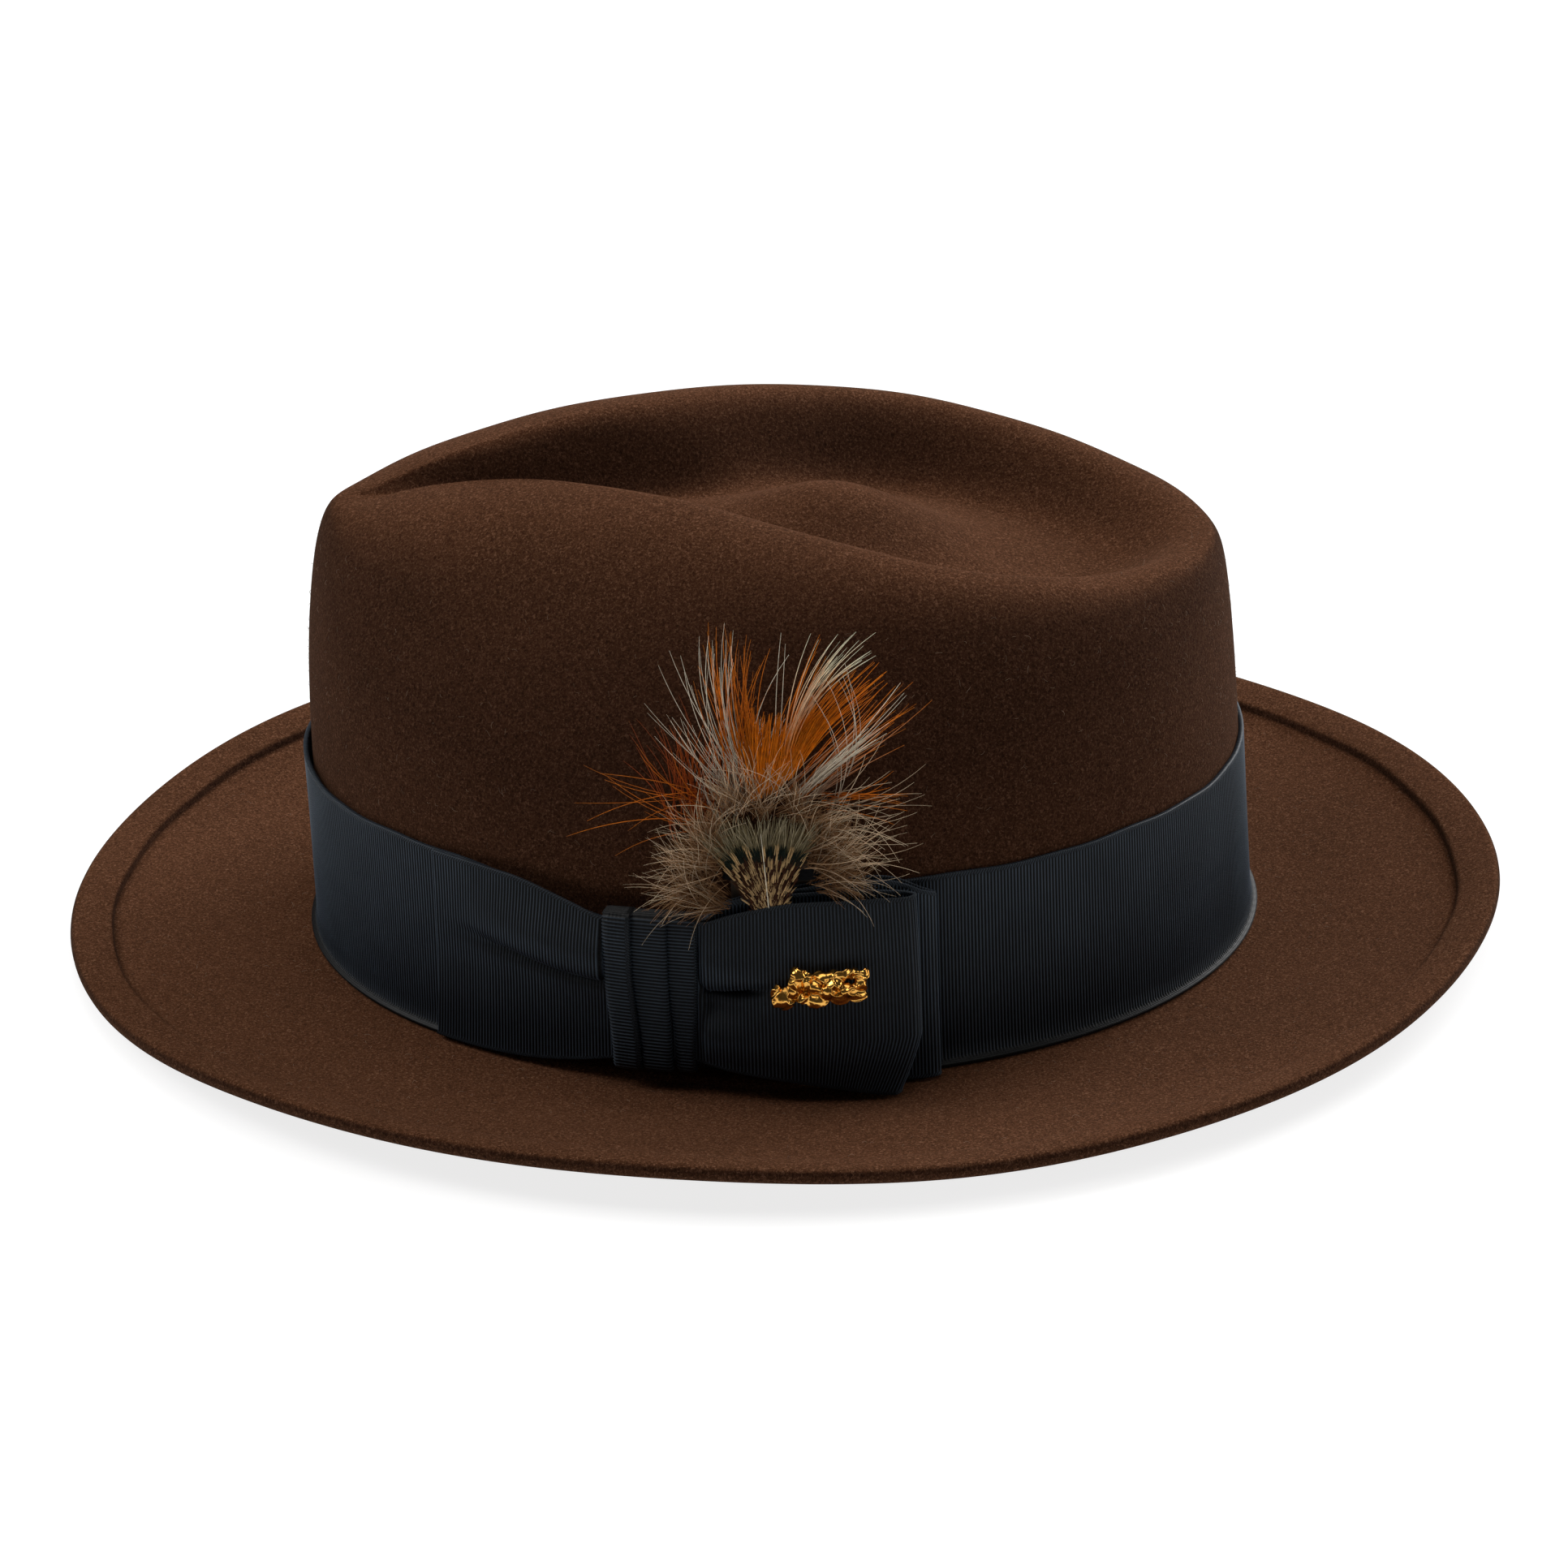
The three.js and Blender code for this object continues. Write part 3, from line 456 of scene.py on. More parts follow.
def inside_point(phi, z, depth):
    """A point at a depth under the outside of the wall, measured square to the felt."""
    step = 1e-2
    phi, z, depth = np.broadcast_arrays(phi, z, depth)
    around = wall_point(phi + step, z) - wall_point(phi - step, z)
    along = wall_point(phi, z - step * 10) - wall_point(phi, z + step * 10)
    return wall_point(phi, z) - unit(np.cross(along, around)) * depth[..., None]


# ---- Felt ----
def hand_waves(phi, t):
    """The slight unevenness of hand-blocked felt, in millimetres."""
    wave = 0.5 * np.sin(3 * phi + 1.3 + 2 * t) * np.sin(1.7 * t + 0.4)
    wave += 0.3 * np.sin(7 * phi + 5 * t) * np.sin(2.3 * t + 1)
    wave += 0.14 * np.sin(15 * phi - 9 * t + 2)
    return 0.55 * wave * min(1, t)


def felt_body(material):
    columns = 432
    phi = full_turn(columns)
    crown = [*np.linspace(0.03, 0.97, 46), *np.linspace(0.985, 1.97, 84), 2.0]
    fillet = [2.15, 2.35, 2.6, 2.8, 3.0]

    def crown_row(t, depth):
        calm = smoothstep(1.9 - t, 0, 0.4) * 0.8 if t > 1.5 else 1
        lift = hand_waves(phi, t) * calm - depth
        return felt_point(phi, t) + felt_normal(phi, t) * lift[:, None]

    rows = [crown_row(t, 0) for t in crown + fillet]

    # The inner edge of the welt wanders a little, and its fold is round.
    welt_start = brim_width(phi) - WELT_WIDTH + 0.25 * np.sin(9 * phi) + 0.15 * np.sin(23 * phi + 1)

    def brim_lift(out):
        share = smoothstep(out, REST_RING + 4, REST_RING + 22)
        return share * 0.45 * (np.sin(4 * phi + 0.06 * out) + 0.6 * np.sin(9 * phi - 0.1 * out))

    def brim_row(out, lift):
        point = brim_point(phi, out)
        point[:, 2] += lift + brim_lift(out)
        return point

    for share in np.linspace(0.06, 1, 30):
        out = FILLET + (welt_start - FILLET) * share
        rows.append(brim_row(out, 0))
    edge = (FELT + WELT_RISE) / 2
    for back, rise in ((0.0, 0.5), (0.12, 1.0), (0.4, 1.38), (1.0, 1.52)):
        rows.append(brim_row(welt_start + back, rise))
    for share in np.linspace(0.15, 1, 9):
        start = welt_start + 1.0
        out = start + (brim_width(phi) - edge - start) * share
        rows.append(brim_row(out, WELT_RISE + 0.18 * math.sin(math.pi * share)))
    for turn in np.linspace(0.1, 1, 10):
        out = brim_width(phi) - edge * (1 - math.sin(turn * math.pi))
        rows.append(brim_row(out, WELT_RISE - edge * (1 - math.cos(turn * math.pi))))
    for share in np.linspace(0.96, 0.06, 24):
        out = FILLET + (brim_width(phi) - edge - FILLET) * share
        rows.append(brim_row(out, -FELT))
    rows += [crown_row(t, FELT) for t in reversed(crown[::2] + fillet)]

    grid = np.array(rows)
    top = dent_point(np.zeros(1), np.ones(1))[0]
    points = np.concatenate([grid.reshape(-1, 3), [top, top - (0, 0, FELT)]])
    count = len(rows)
    faces = grid_faces(count, columns)
    last = (count - 1) * columns
    for j in range(columns):
        after = (j + 1) % columns
        faces.append([count * columns, after, j])
        faces.append([count * columns + 1, last + j, last + after])
    return mesh_object("felt", points, faces, material, HAT, ["felt_body"])


# ---- Ribbons ----
def through(values, at):
    """A smooth curve through rows of values at the row numbers 0, 1, 2 ..., read at other places."""
    values = np.asarray(values, float)
    slopes = np.gradient(values, axis=0)
    low = np.clip(np.floor(at).astype(int), 0, len(values) - 2)
    s = (at - low)[:, None]
    start = values[low] * (1 + 2 * s) + slopes[low] * s
    end = values[low + 1] * (3 - 2 * s) + slopes[low + 1] * (s - 1)
    return start * (1 - s) ** 2 + end * s ** 2


def rib_places(path, fine):
    """Even steps along a path, four to a rib, that fill it with whole ribs, and the pitch of those ribs.

    Each step is its length along the path and its value of fine, which numbers the path's points.
    """
    steps = np.linalg.norm(np.diff(path, axis=0), axis=1)
    lengths = np.concatenate([[0], np.cumsum(steps)])
    ribs = max(2, round(lengths[-1] / RIB_PITCH))
    along = np.arange(4 * ribs + 1) * lengths[-1] / (4 * ribs)
    return along, np.interp(along, lengths, fine), lengths[-1] / ribs


def thick_sheet(name, front, back, material, replaced, closed=False, attributes=None):
    """A sheet between two grids of points: rows go across it, columns along it."""
    rows, columns = front.shape[:2]
    # The front's rows and then the back's in reverse go once round the sheet's section.
    points = np.concatenate([front, back[::-1]]).reshape(-1, 3)
    faces = grid_faces(2 * rows, columns, closed, wrap_rows=True)
    if not closed:
        for i in range(rows - 1):
            ring = np.array([i, i + 1, 2 * rows - 2 - i, 2 * rows - 1 - i]) * columns
            faces.append(ring.tolist())
            faces.append((ring[::-1] + columns - 1).tolist())
    return mesh_object(name, points, faces, material, HAT, replaced, attributes)


def ribbed(name, middle, along, pitch, edge_gap, thickness, material, replaced, closed=False):
    """A grosgrain ribbon from the grid of its middle surface, its ribs across the columns."""
    normals = grid_normals(middle, wrap=closed)
    length = np.broadcast_to(along, middle.shape[:2])
    edge_gap = np.broadcast_to(edge_gap, middle.shape[:2])
    crest = np.abs(np.sin(math.pi * length / pitch)) ** 0.8
    # Painted shade: the crests are painted darker the more they face up.
    painted_light = np.interp(normals[..., 2], [0, 0.12, 0.45, 1], [1, 0.9, 0.87, 0.25])
    plain = smoothstep(edge_gap, 0.7, 1.0)
    twist = 0.5 + 0.5 * np.sin(2 * math.pi * (length / (pitch * 0.8) + edge_gap / 0.9))
    relief = RIB_HEIGHT * (crest * plain + (0.5 + 0.6 * twist) * (1 - plain))
    offset = normals * (relief + (thickness - RIB_HEIGHT) / 2)[..., None]
    # Painted light in the colour: lighter on the rib crests, darker in the grooves and where the ribbon
    # faces up; at the selvage it follows the threads' twist.
    shade = painted_light * (crest * plain + (0.45 + 0.55 * twist) * (1 - plain))
    weave = np.stack([length, edge_gap, shade], -1)
    return thick_sheet(name, middle + offset, middle - offset, material, replaced, closed,
                       {"weave": np.concatenate([weave, weave[::-1]])})


def levels_across(count):
    """Shares across a ribbon, closer together at both edges, and their gaps to the nearer edge."""
    edge = np.linspace(0, 0.028, 6)
    share = np.concatenate([edge, np.linspace(0.035, 0.965, count), edge + 0.972])[:, None]
    return share, 43 * np.minimum(share, 1 - share)


def hat_band(material):
    start = math.radians(76.2)
    fine = start + np.linspace(0, 2 * math.pi - 0.006, 6000)
    along, phi, pitch = rib_places(wall_point(fine, 25.0, 0.7), fine)
    share, edge_gap = levels_across(16)
    tuck = bell(phi % (2 * math.pi) - math.radians(74), math.radians(12.5))
    foot = BAND_FOOT + 3 * tuck
    top = BAND_TOP - 8.6 * tuck - 1.2 * np.cos(phi) ** 4
    # Hand-sewn, so its edges wander a little.
    wander = 0.18 * np.sin(11 * phi) + 0.12 * np.sin(29 * phi + 1)
    z = foot + (top + wander - foot) * share
    drop = np.maximum(0, (FELT + FILLET - z) / FILLET)
    foot_out = FILLET * (1 - np.sqrt(np.maximum(0, 1 - drop ** 2))) + 0.5 * drop ** 1.5
    stand_off = 0.9 * bell(side_angle(phi), 0.6) * (z / 46.4) ** 3
    ease = 0.15 * np.sin(5 * phi + 0.5) * np.sin(math.pi * share)
    middle = wall_point(phi, z, 0.7 + foot_out + stand_off + ease)
    band = ribbed("hat_band_grosgrain", middle, along, pitch, edge_gap, 0.75, material, ["hat_band"])


def wing(name, rows, levels, thickness, material, replaced, detail=None):
    """A bow wing from rows of [degrees, out at foot, middle and top, foot, top], in millimetres."""
    fine = np.linspace(0, len(rows) - 1, 80 * len(rows))
    values = through(rows, fine)
    centre = wall_point(np.radians(values[:, 0]), (values[:, 4] + values[:, 5]) / 2, values[:, 2])
    along, at, pitch = rib_places(centre, fine)
    degrees, foot_out, middle_out, top_out, foot, top = through(rows, at).T
    share, edge_gap = levels_across(levels)
    z = foot + (top - foot) * share
    out = foot_out * (1 - share) * (1 - 2 * share) + 4 * middle_out * share * (1 - share)
    out = out + top_out * share * (2 * share - 1)
    phi = np.broadcast_to(np.radians(degrees), z.shape)
    if detail:
        phi, z, out = detail(phi, z, out)
    piece = ribbed(name, wall_point(phi, z, out), along, pitch, edge_gap, thickness, material, replaced)


def left_wing(material):
    def fold(phi, z, out):
        degrees = np.degrees(phi)
        above = z - (29.2 - 2.2 * smoothstep(degrees, 47, 71))
        grow = smoothstep(degrees, 47.5, 69) * (1 - smoothstep(degrees, 70.9, 71.9))
        roll = smoothstep(above, -0.4, 2.2) * bell(above - 3.5, 8.5)
        dip = bell(above + 1.2, 1.8)
        hang = 2.3 * grow * bell(above - 1.2, 1.9)
        return phi, z - hang, out + grow * (3.5 * roll - 1.2 * dip) + 0.3 * smoothstep(above, -9, 0)

    rows = [
        [46.9, 3.1, 1.75, 1.75, 3, 44.6], [53, 3.1, 2, 1.9, 3, 44.5],
        [60, 3.4, 2.6, 2.8, 3.6, 44], [66, 4, 3.4, 3.6, 5.1, 41.7],
        [70, 4.8, 4.4, 4.6, 6.7, 39.9], [73.5, 5.3, 5.3, 5.3, 8.2, 38.2],
    ]
    wing("bow_left_wing_grosgrain", rows, 100, 0.6, material, ["bow_left_wing"], fold)


def front_loop(material):
    def crease(phi, z, out):
        degrees = np.degrees(phi)
        outer = (out > 6.95) & (degrees > 78)
        near = smoothstep(92.5 - degrees, 0, 9.5) * smoothstep(degrees, 82.0, 83.4)
        above = z - 26.6 - 0.12 * (degrees - 82)
        roll = 1.9 * near * smoothstep(above, -0.3, 2.2) * bell(above - 4.5, 8)
        groove = 2.9 * near * bell(above + 0.9, 1.3)
        lower = 1.3 * near * bell(above + 12, 5.5) - 1.2 * near ** 2 * bell(above + 4.5, 3.5)
        hang = 1.9 * near * bell(above - 1.0, 1.7)
        corner = np.clip((16 - z) / 12.5, 0, 1) ** 1.2 * smoothstep(degrees, 92, 105.4)
        sag = 0.35 * np.sin(degrees * 0.35) * bell(z - 33, 12) * smoothstep(degrees, 84, 90)
        change = np.where(outer, roll + lower - groove + sag, 0)
        return phi - math.radians(2.3) * corner, z - np.where(outer, hang, 0), out + change

    rows = [
        [77, 6.8, 6.8, 6.8, 9.2, 38.8], [82.2, 7.1, 7.0, 6.9, 9, 40],
        [86, 9.5, 9.3, 8.5, 8.2, 42.6], [92, 11.4, 11.6, 8.8, 6.7, 44.9],
        [99, 12.0, 12.6, 9.0, 4.7, 45.1], [104.4, 12.2, 12.4, 9.0, 3.1, 44.7],
        [105.7, 11.6, 11.5, 8.6, 2.9, 44.7], [106.1, 9.8, 9.6, 7.9, 3.0, 44.9],
        [105.6, 8, 7.9, 7.3, 3.3, 45], [104.2, 7.2, 7, 6.8, 3.4, 45.4],
        [99, 6.5, 6.5, 6.4, 4.4, 46.1], [92, 6.3, 6.3, 6.3, 5.5, 45.8],
        [86, 6.1, 6.1, 6.1, 7.4, 44.2], [82.4, 5.9, 5.9, 5.9, 8.8, 40],
        [77, 5.8, 5.8, 5.8, 9.2, 38.8],
    ]
    wing("bow_front_loop_grosgrain", rows, 90, 0.55, material, ["bow_front_loop"], crease)


def back_loop(material):
    rows = [
        [77, 4.1, 4.1, 4.1, 9.2, 38.8], [82.4, 4.1, 4.1, 4.1, 8.4, 40],
        [86, 4.1, 3.9, 3.9, 6.6, 44], [95, 4.3, 3.7, 3.7, 4, 47.0],
        [103, 4.4, 3.7, 3.7, 3, 47.4], [107.6, 4.5, 3.8, 3.8, 2.8, 44],
        [108.9, 5.2, 4.6, 4.5, 2.8, 43.1], [107.6, 6, 5.4, 5.3, 2.8, 44],
        [103, 5.6, 5.3, 5.2, 3, 47.1], [95, 5.4, 5.2, 5.2, 4, 46.8],
        [86, 5, 5, 5, 6.6, 44], [82.4, 5, 5, 5, 8.4, 40],
        [77, 5, 5, 5, 9.2, 38.8],
    ]
    wing("bow_back_loop_grosgrain", rows, 24, 0.5, material, ["bow_back_loop"])


def knot(material):
    """One ribbon wrapped over the wings, its front laid in three pleats that part lower down."""
    # Across the knot and out from it, first where the pleats are closed, then where they part.
    profile = np.array([
        [0.0, -2.2, 1.6, -2.2], [0.15, -0.7, 1.75, -0.7], [0.8, -0.1, 2.3, -0.1],
        [5.2, 0.25, 6.8, 0.15], [6.0, 0.15, 7.5, 0.0], [6.1, -0.7, 7.6, -2.4],
        [6.15, -0.9, 8.1, -2.6], [6.2, -0.85, 8.2, -0.9], [7.0, -0.6, 8.8, -0.3],
        [13.4, -0.05, 13.9, 0.0], [13.9, -0.2, 14.3, -0.3], [14.0, -0.9, 14.4, -2.4],
        [14.05, -1.0, 15.7, -2.6], [14.1, -1.0, 15.8, -1.0], [14.8, -0.75, 16.5, -0.5],
        [19.8, -0.35, 18.9, -0.35], [20.35, -0.6, 19.4, -0.6], [20.5, -2.2, 19.6, -2.2],
    ])
    inner, outer, foot, top = 2.6, 8.6, 6.4, 41.2
    # Steps that stay even round the squarish loop, from the middle of its hidden side.
    step = np.linspace(0, 1, 700, endpoint=False)
    quarter = step ** 3.3 / (step ** 3.3 + (1 - step) ** 3.3)
    fine = np.concatenate([(turn + quarter) * math.pi / 2 for turn in (2, 3, 4, 5)] + [[3 * math.pi]])

    def loop(turn, layer):
        reach = np.sign(np.cos(turn)) * np.abs(np.cos(turn)) ** 0.3
        height = np.sign(np.sin(turn)) * np.abs(np.sin(turn)) ** 0.3
        facing = np.maximum(0, np.cos(turn)) ** 0.25
        out = (inner + outer) / 2 + reach * ((outer - inner) / 2 - 0.3) + layer * facing
        z = (foot + top) / 2 + height * ((top - foot) / 2 - 0.3 + 0.2 * layer)
        return z, out

    z, out = loop(fine, 0)
    along, turn, pitch = rib_places(np.stack([z, out], -1), fine)
    along, turn = along[:-1], turn[:-1]
    places = np.linspace(0, len(profile) - 1, 5 * (len(profile) - 1) + 1)
    index = np.arange(len(profile))
    closed_across, closed_out, open_across, open_out = (
        np.interp(places, index, column)[:, None] for column in profile.T)
    z, out = loop(turn, 0 * places[:, None])
    parted = 1 - smoothstep(z, 9, 31)
    across = closed_across + (open_across - closed_across) * parted
    layer = closed_out + (open_out - closed_out) * parted
    z, out = loop(turn, layer)
    phi = np.radians(KNOT_START + (KNOT_END - KNOT_START) * across / 20.5)
    selvage = np.minimum(np.abs(places - 3.6), np.abs(places - 15.7)) * 1.8
    middle = wall_point(phi, z, out)
    wrap = ribbed("bow_knot_grosgrain", middle[:, ::-1], along[::-1], pitch, selvage[:, None], 0.5, material,
                  ["bow_knot"], closed=True)


# ---- Strands: feather barbs, fluff, thread and lint ----
def strand_mesh(name, curves, radii, tones, material, body, replaced=(), pieces=9):
    """Thin tapered strands. curves holds each one's four control points, radii and tones its two ends'."""
    share = np.linspace(0, 1, pieces + 1)[:, None]
    rest = 1 - share
    path = np.hstack([rest ** 3, 3 * share * rest ** 2, 3 * share ** 2 * rest, share ** 3]) @ curves
    tangent = unit(np.gradient(path, axis=1))
    outward = np.broadcast_to(np.array([1.0, 0.1, 0.2]), tangent.shape)
    side = unit(np.cross(tangent, outward))
    face = np.cross(side, tangent)
    radius = radii[:, :1, None] + (radii[:, 1:, None] - radii[:, :1, None]) * share ** 1.4
    turns = np.radians([90, 210, 330])
    ring = np.stack([path + radius * (math.cos(t) * side + math.sin(t) * face) for t in turns], axis=2)
    one = np.array(grid_faces(pieces + 1, 3))
    starts = np.arange(len(curves)) * 3 * (pieces + 1)
    faces = (one + starts[:, None, None]).reshape(-1, 4).tolist()
    tone = tones[:, :1] + (tones[:, 1:] - tones[:, :1]) * share
    tone = np.repeat(tone[:, :, None, :], 3, axis=2)
    mesh_object(name, ring.reshape(-1, 3), faces, material, body, replaced, {"tone": tone})


class Plume:
    """The strands of one feather, in the mount's own frame: along the hat, up the crown and out from it."""

    def __init__(self, seed):
        self.random = np.random.default_rng(seed)
        self.strands = []

    def spread(self, count, limits, order, jitter):
        share = (np.arange(count) + 0.5) / count if order else self.random.random(count)
        share = share + (self.random.random(count) - 0.5) * jitter * 2
        return limits[0] + (limits[1] - limits[0]) * share

    def fan(self, count, along, up, degrees, length, curl, out, lift, root, tip, radius,
            ordered=False, shading=0.25, jitter=0.06):
        """Barbs with their roots, directions, lengths, curls and rises between limits, and two end tones."""
        a = self.spread(count, along, ordered, jitter)
        h = self.spread(count, up, ordered, 0.1)
        angle = np.radians(self.spread(count, degrees, ordered, jitter))
        size = self.random.uniform(*length, count)
        bend = self.random.uniform(*curl, count)
        start = self.random.uniform(*out, count)
        rise = self.random.uniform(*lift, count)
        direction = np.stack([np.sin(angle), np.cos(angle)], -1)
        square = np.stack([np.cos(angle), -np.sin(angle)], -1)
        stops = []
        for share, turn, up_share in ((0, 0, 0), (0.34, 0.02, 0.3), (0.68, 0.34, 0.7), (1, 1, 1)):
            along_it = direction * (size * share)[:, None] + square * (bend * turn)[:, None]
            flat = np.stack([a, h], -1) + along_it
            stops.append(np.column_stack([flat, start + rise * up_share]))
        thick = radius * self.random.uniform(0.75, 1.2, (count, 1))
        shade = 1 + (self.random.random((count, 1, 1)) - 0.5) * 2 * shading
        self.strands.append((np.stack(stops, 1), thick * (1, 0.22), np.array([root, tip]) * shade))

    def build(self, node, kind, material):
        curves, radii, tones = (np.concatenate(parts) for parts in zip(*self.strands))
        strand_mesh(node + "_" + kind, mount_place(curves), radii, tones, material, MOUNT, [node])


def mount_place(flat):
    """Points from [along, up, out]; the mount leans back with the crown and curves round it."""
    along, up, out = np.moveaxis(flat, -1, 0)
    base = wall_point(math.pi / 2, SHOULDER)[0]
    x = base + out - math.sin(FEATHER_LEAN) * up - along ** 2 / 300
    return np.stack([x, 0.6 + along, 48.8 + math.cos(FEATHER_LEAN) * up], -1)


ORANGE = (0.700, 0.185, 0.004)
DEEP_ORANGE = (0.470, 0.100, 0.006)
RUST = (0.330, 0.058, 0.007)
CREAM = (1.0, 0.91, 0.72)
GREY = (0.46, 0.37, 0.28)
TAUPE = (0.19, 0.090, 0.038)
BROWN_DOWN = (0.44, 0.245, 0.120)
WISP = (0.96, 0.76, 0.52)
PALE_GREEN = (0.84, 0.84, 0.62)


def hackle(node, seed, material, fans):
    """A feather made of fans of barbs, each a row of what Plume.fan asks for."""
    plume = Plume(seed)
    for fan in fans:
        plume.fan(*fan)
    plume.build(node, "barbs", material)


def orange_plume(material):
    front = (5.4, 6.2)
    fringe = (DEEP_ORANGE, ORANGE)
    hackle("orange_plume", 11, material, (
        (210, (-3, 4.5), (17, 22), (-15, 30), (11, 17), (-0.5, 2), front, (0, 1), ORANGE, ORANGE, 0.22, True,
         0.3, 0.12),
        (34, (-3, 1), (18, 24), (-17, -5), (10, 16), (-1, 2), front, (0, 1), ORANGE, ORANGE, 0.16),
        (64, (0, 5), (18, 24), (14, 38), (20, 29), (2, 7), front, (0, 1), ORANGE, ORANGE, 0.16, True,
         0.3, 0.3),
        (52, (-8, -1), (19, 27), (-30, -6), (18, 29), (1, 9), (5, 6.4), (0, 1), *fringe, 0.12),
        (10, (1, 5), (22, 28), (2, 16), (18, 25), (2, 6), (5, 6), (0, 1), *fringe, 0.13),
    ))


def pale_plume(material):
    dull_cream = (0.70, 0.62, 0.52)
    white = (GREY, CREAM)
    wisp = (TAUPE, WISP)
    hackle("pale_plume", 12, material, (
        (120, (-9, -1), (12, 20), (-30, 4), (7, 14), (1, 4), (3, 4), (0, 0.4), GREY, dull_cream, 0.14, True,
         0.25, 0.3),
        (22, (-8, -2), (18, 24), (-44, -10), (22, 33), (4, 12), (5.5, 6), (0, 2), *white, 0.11),
        (12, (-9, -5), (14, 19), (-56, -34), (14, 24), (0, 5), (4, 5), (0, 2), *white, 0.10),
        (30, (3, 6), (25, 31), (4, 22), (18, 26), (5, 10), (6.2, 7), (0, 1), ORANGE, PALE_GREEN, 0.13, True,
         0.2, 0.25),
        (2, (1, 3), (24, 30), (-2, 6), (20, 26), (0, 2), (6, 7), (0, 1), *white, 0.12, True),
        (22, (6, 10), (17, 22), (36, 54), (10, 19), (0, 2), (6, 7), (0, 2), *white, 0.15, True, 0.2, 0.3),
        (3, (8, 10), (19, 21), (44, 50), (22, 29), (-2, 0), (6, 7), (0, 2), *white, 0.13, True),
        (7, (13, 17), (16, 24), (14, 34), (16, 24), (-12, -7), (5, 6), (1, 4), *white, 0.10, True),
        (26, (8, 15), (9, 17), (55, 116), (10, 21), (-8, 8), (4.5, 6), (1, 6), *wisp, 0.10),
        (40, (-9, 6), (14, 20), (-50, 40), (6, 13), (-6, 6), (6.5, 7.5), (0, 3), *wisp, 0.09),
    ))


def rust_plume(material):
    low = (2.6, 3.6)
    hackle("rust_plume", 13, material, (
        (46, (-20, -12), (6, 15), (-18, 12), (12, 24), (-7, 5), low, (0, 2), RUST, RUST, 0.12),
        (34, (-17, -8), (12, 18), (-10, 16), (10, 20), (-4, 4), low, (0, 2), RUST, DEEP_ORANGE, 0.13),
        (15, (-16, -11), (9, 18), (-100, -62), (12, 26), (-10, 10), (3, 4), (0, 3), DEEP_ORANGE, ORANGE,
         0.11),
    ))


def amber_plume(material):
    low = (4, 5)
    fringe = (DEEP_ORANGE, ORANGE)
    hackle("amber_plume", 14, material, (
        (30, (2, 9), (15, 20), (46, 62), (14, 30), (-3, 2), low, (0, 2), GREY, ORANGE, 0.13),
        (20, (4, 9), (16, 21), (36, 50), (18, 29), (-1, 4), low, (0, 2), *fringe, 0.13),
        (12, (9, 14), (14, 18), (76, 94), (10, 19), (-5, 3), low, (0, 3), *fringe, 0.12),
    ))


def spotted_feather(place, tilt, shift, seed, material, shaft=False):
    """A short pheasant feather: green-grey barbs, black spots below them, then mottled cream and brown."""
    plume = Plume(seed)
    green = (0.25, 0.20, 0.105)
    pale_green = (0.62, 0.53, 0.35)
    black = (0.010, 0.016, 0.010)
    brown = (0.060, 0.020, 0.008)
    buff = (0.60, 0.40, 0.19)
    wide = (-2.6, 2.6)
    plume.fan(60, wide, (6, 6), (-18, 18), (5.5, 9), (-0.3, 0.3), (7.2, 7.5), (0, 0.3), green, green,
              0.19, True, 0.4)
    plume.fan(30, wide, (6.5, 8.5), (-22, 22), (5, 8.5), (-1.2, 1.2), (7.7, 8), (0, 0.3), green, pale_green,
              0.10, True, 0.3, 0.2)
    mottled = len(plume.strands)
    for row in range(11):
        height = 6.2 - 1.15 * row
        plume.fan(30, wide, (height, height), (-17, 17), (1.6, 2.4), (-0.2, 0.2), (7.9, 8.1), (0, 0.2),
                  buff, buff, 0.18, True, 0.3)
    for curves, _, tones in plume.strands[mottled:]:
        along, up = curves[:, 0, 0], curves[:, 0, 1]
        spot = np.sin(2.5 * along + 1.2 * up + seed) * np.sin(2.2 * up - 1.4 * along + 2 * seed) > -0.05
        top = up > 4.6
        tones[spot & ~top] *= np.array(brown) / buff
        tones[top & (np.abs(along) > 0.4) & (np.abs(along) < 2.2)] = black
    if shaft:
        none = (0, 0)
        plume.fan(1, none, (-5, -5), none, (16, 16), none, (8.2, 8.2), none, CREAM, CREAM, 0.22, True, 0)
    c, s = math.cos(tilt), math.sin(tilt)
    for curves, _, _ in plume.strands:
        curves[..., :2] = curves[..., :2] @ [[c, -s], [s, c]] + (shift, 0)
    plume.build("spotted_feather_" + place, "barbs", material)


def fluff(place, seed, material, areas, wisps):
    """Soft down: tufts of fine fibres that flow one way, and a few long pale ones."""
    plume = Plume(seed)
    for tufts, along, up, degrees, length in areas:
        for _ in range(tufts):
            a, h, turn = (plume.random.uniform(*limits) for limits in (along, up, degrees))
            bend = plume.random.uniform(-5, 5)
            plume.fan(16, (a - 1.2, a + 1.2), (h - 1.2, h + 1.2), (turn - 14, turn + 14), length,
                      (bend - 1.2, bend + 1.2), (4.5, 7.0), (-0.5, 4), TAUPE, BROWN_DOWN, 0.065)
            plume.fan(2, (a - 1, a + 1), (h - 1, h + 1), (turn - 25, turn + 25), (length[1], length[1] + 5),
                      (bend - 4, bend + 4), (6, 8), (0, 5), TAUPE, WISP, 0.07)
    plume.fan(*wisps, (-8, 8), (6, 8.5), (0.5, 6), BROWN_DOWN, WISP, 0.08)
    plume.build("fluff_" + place, "down", material)


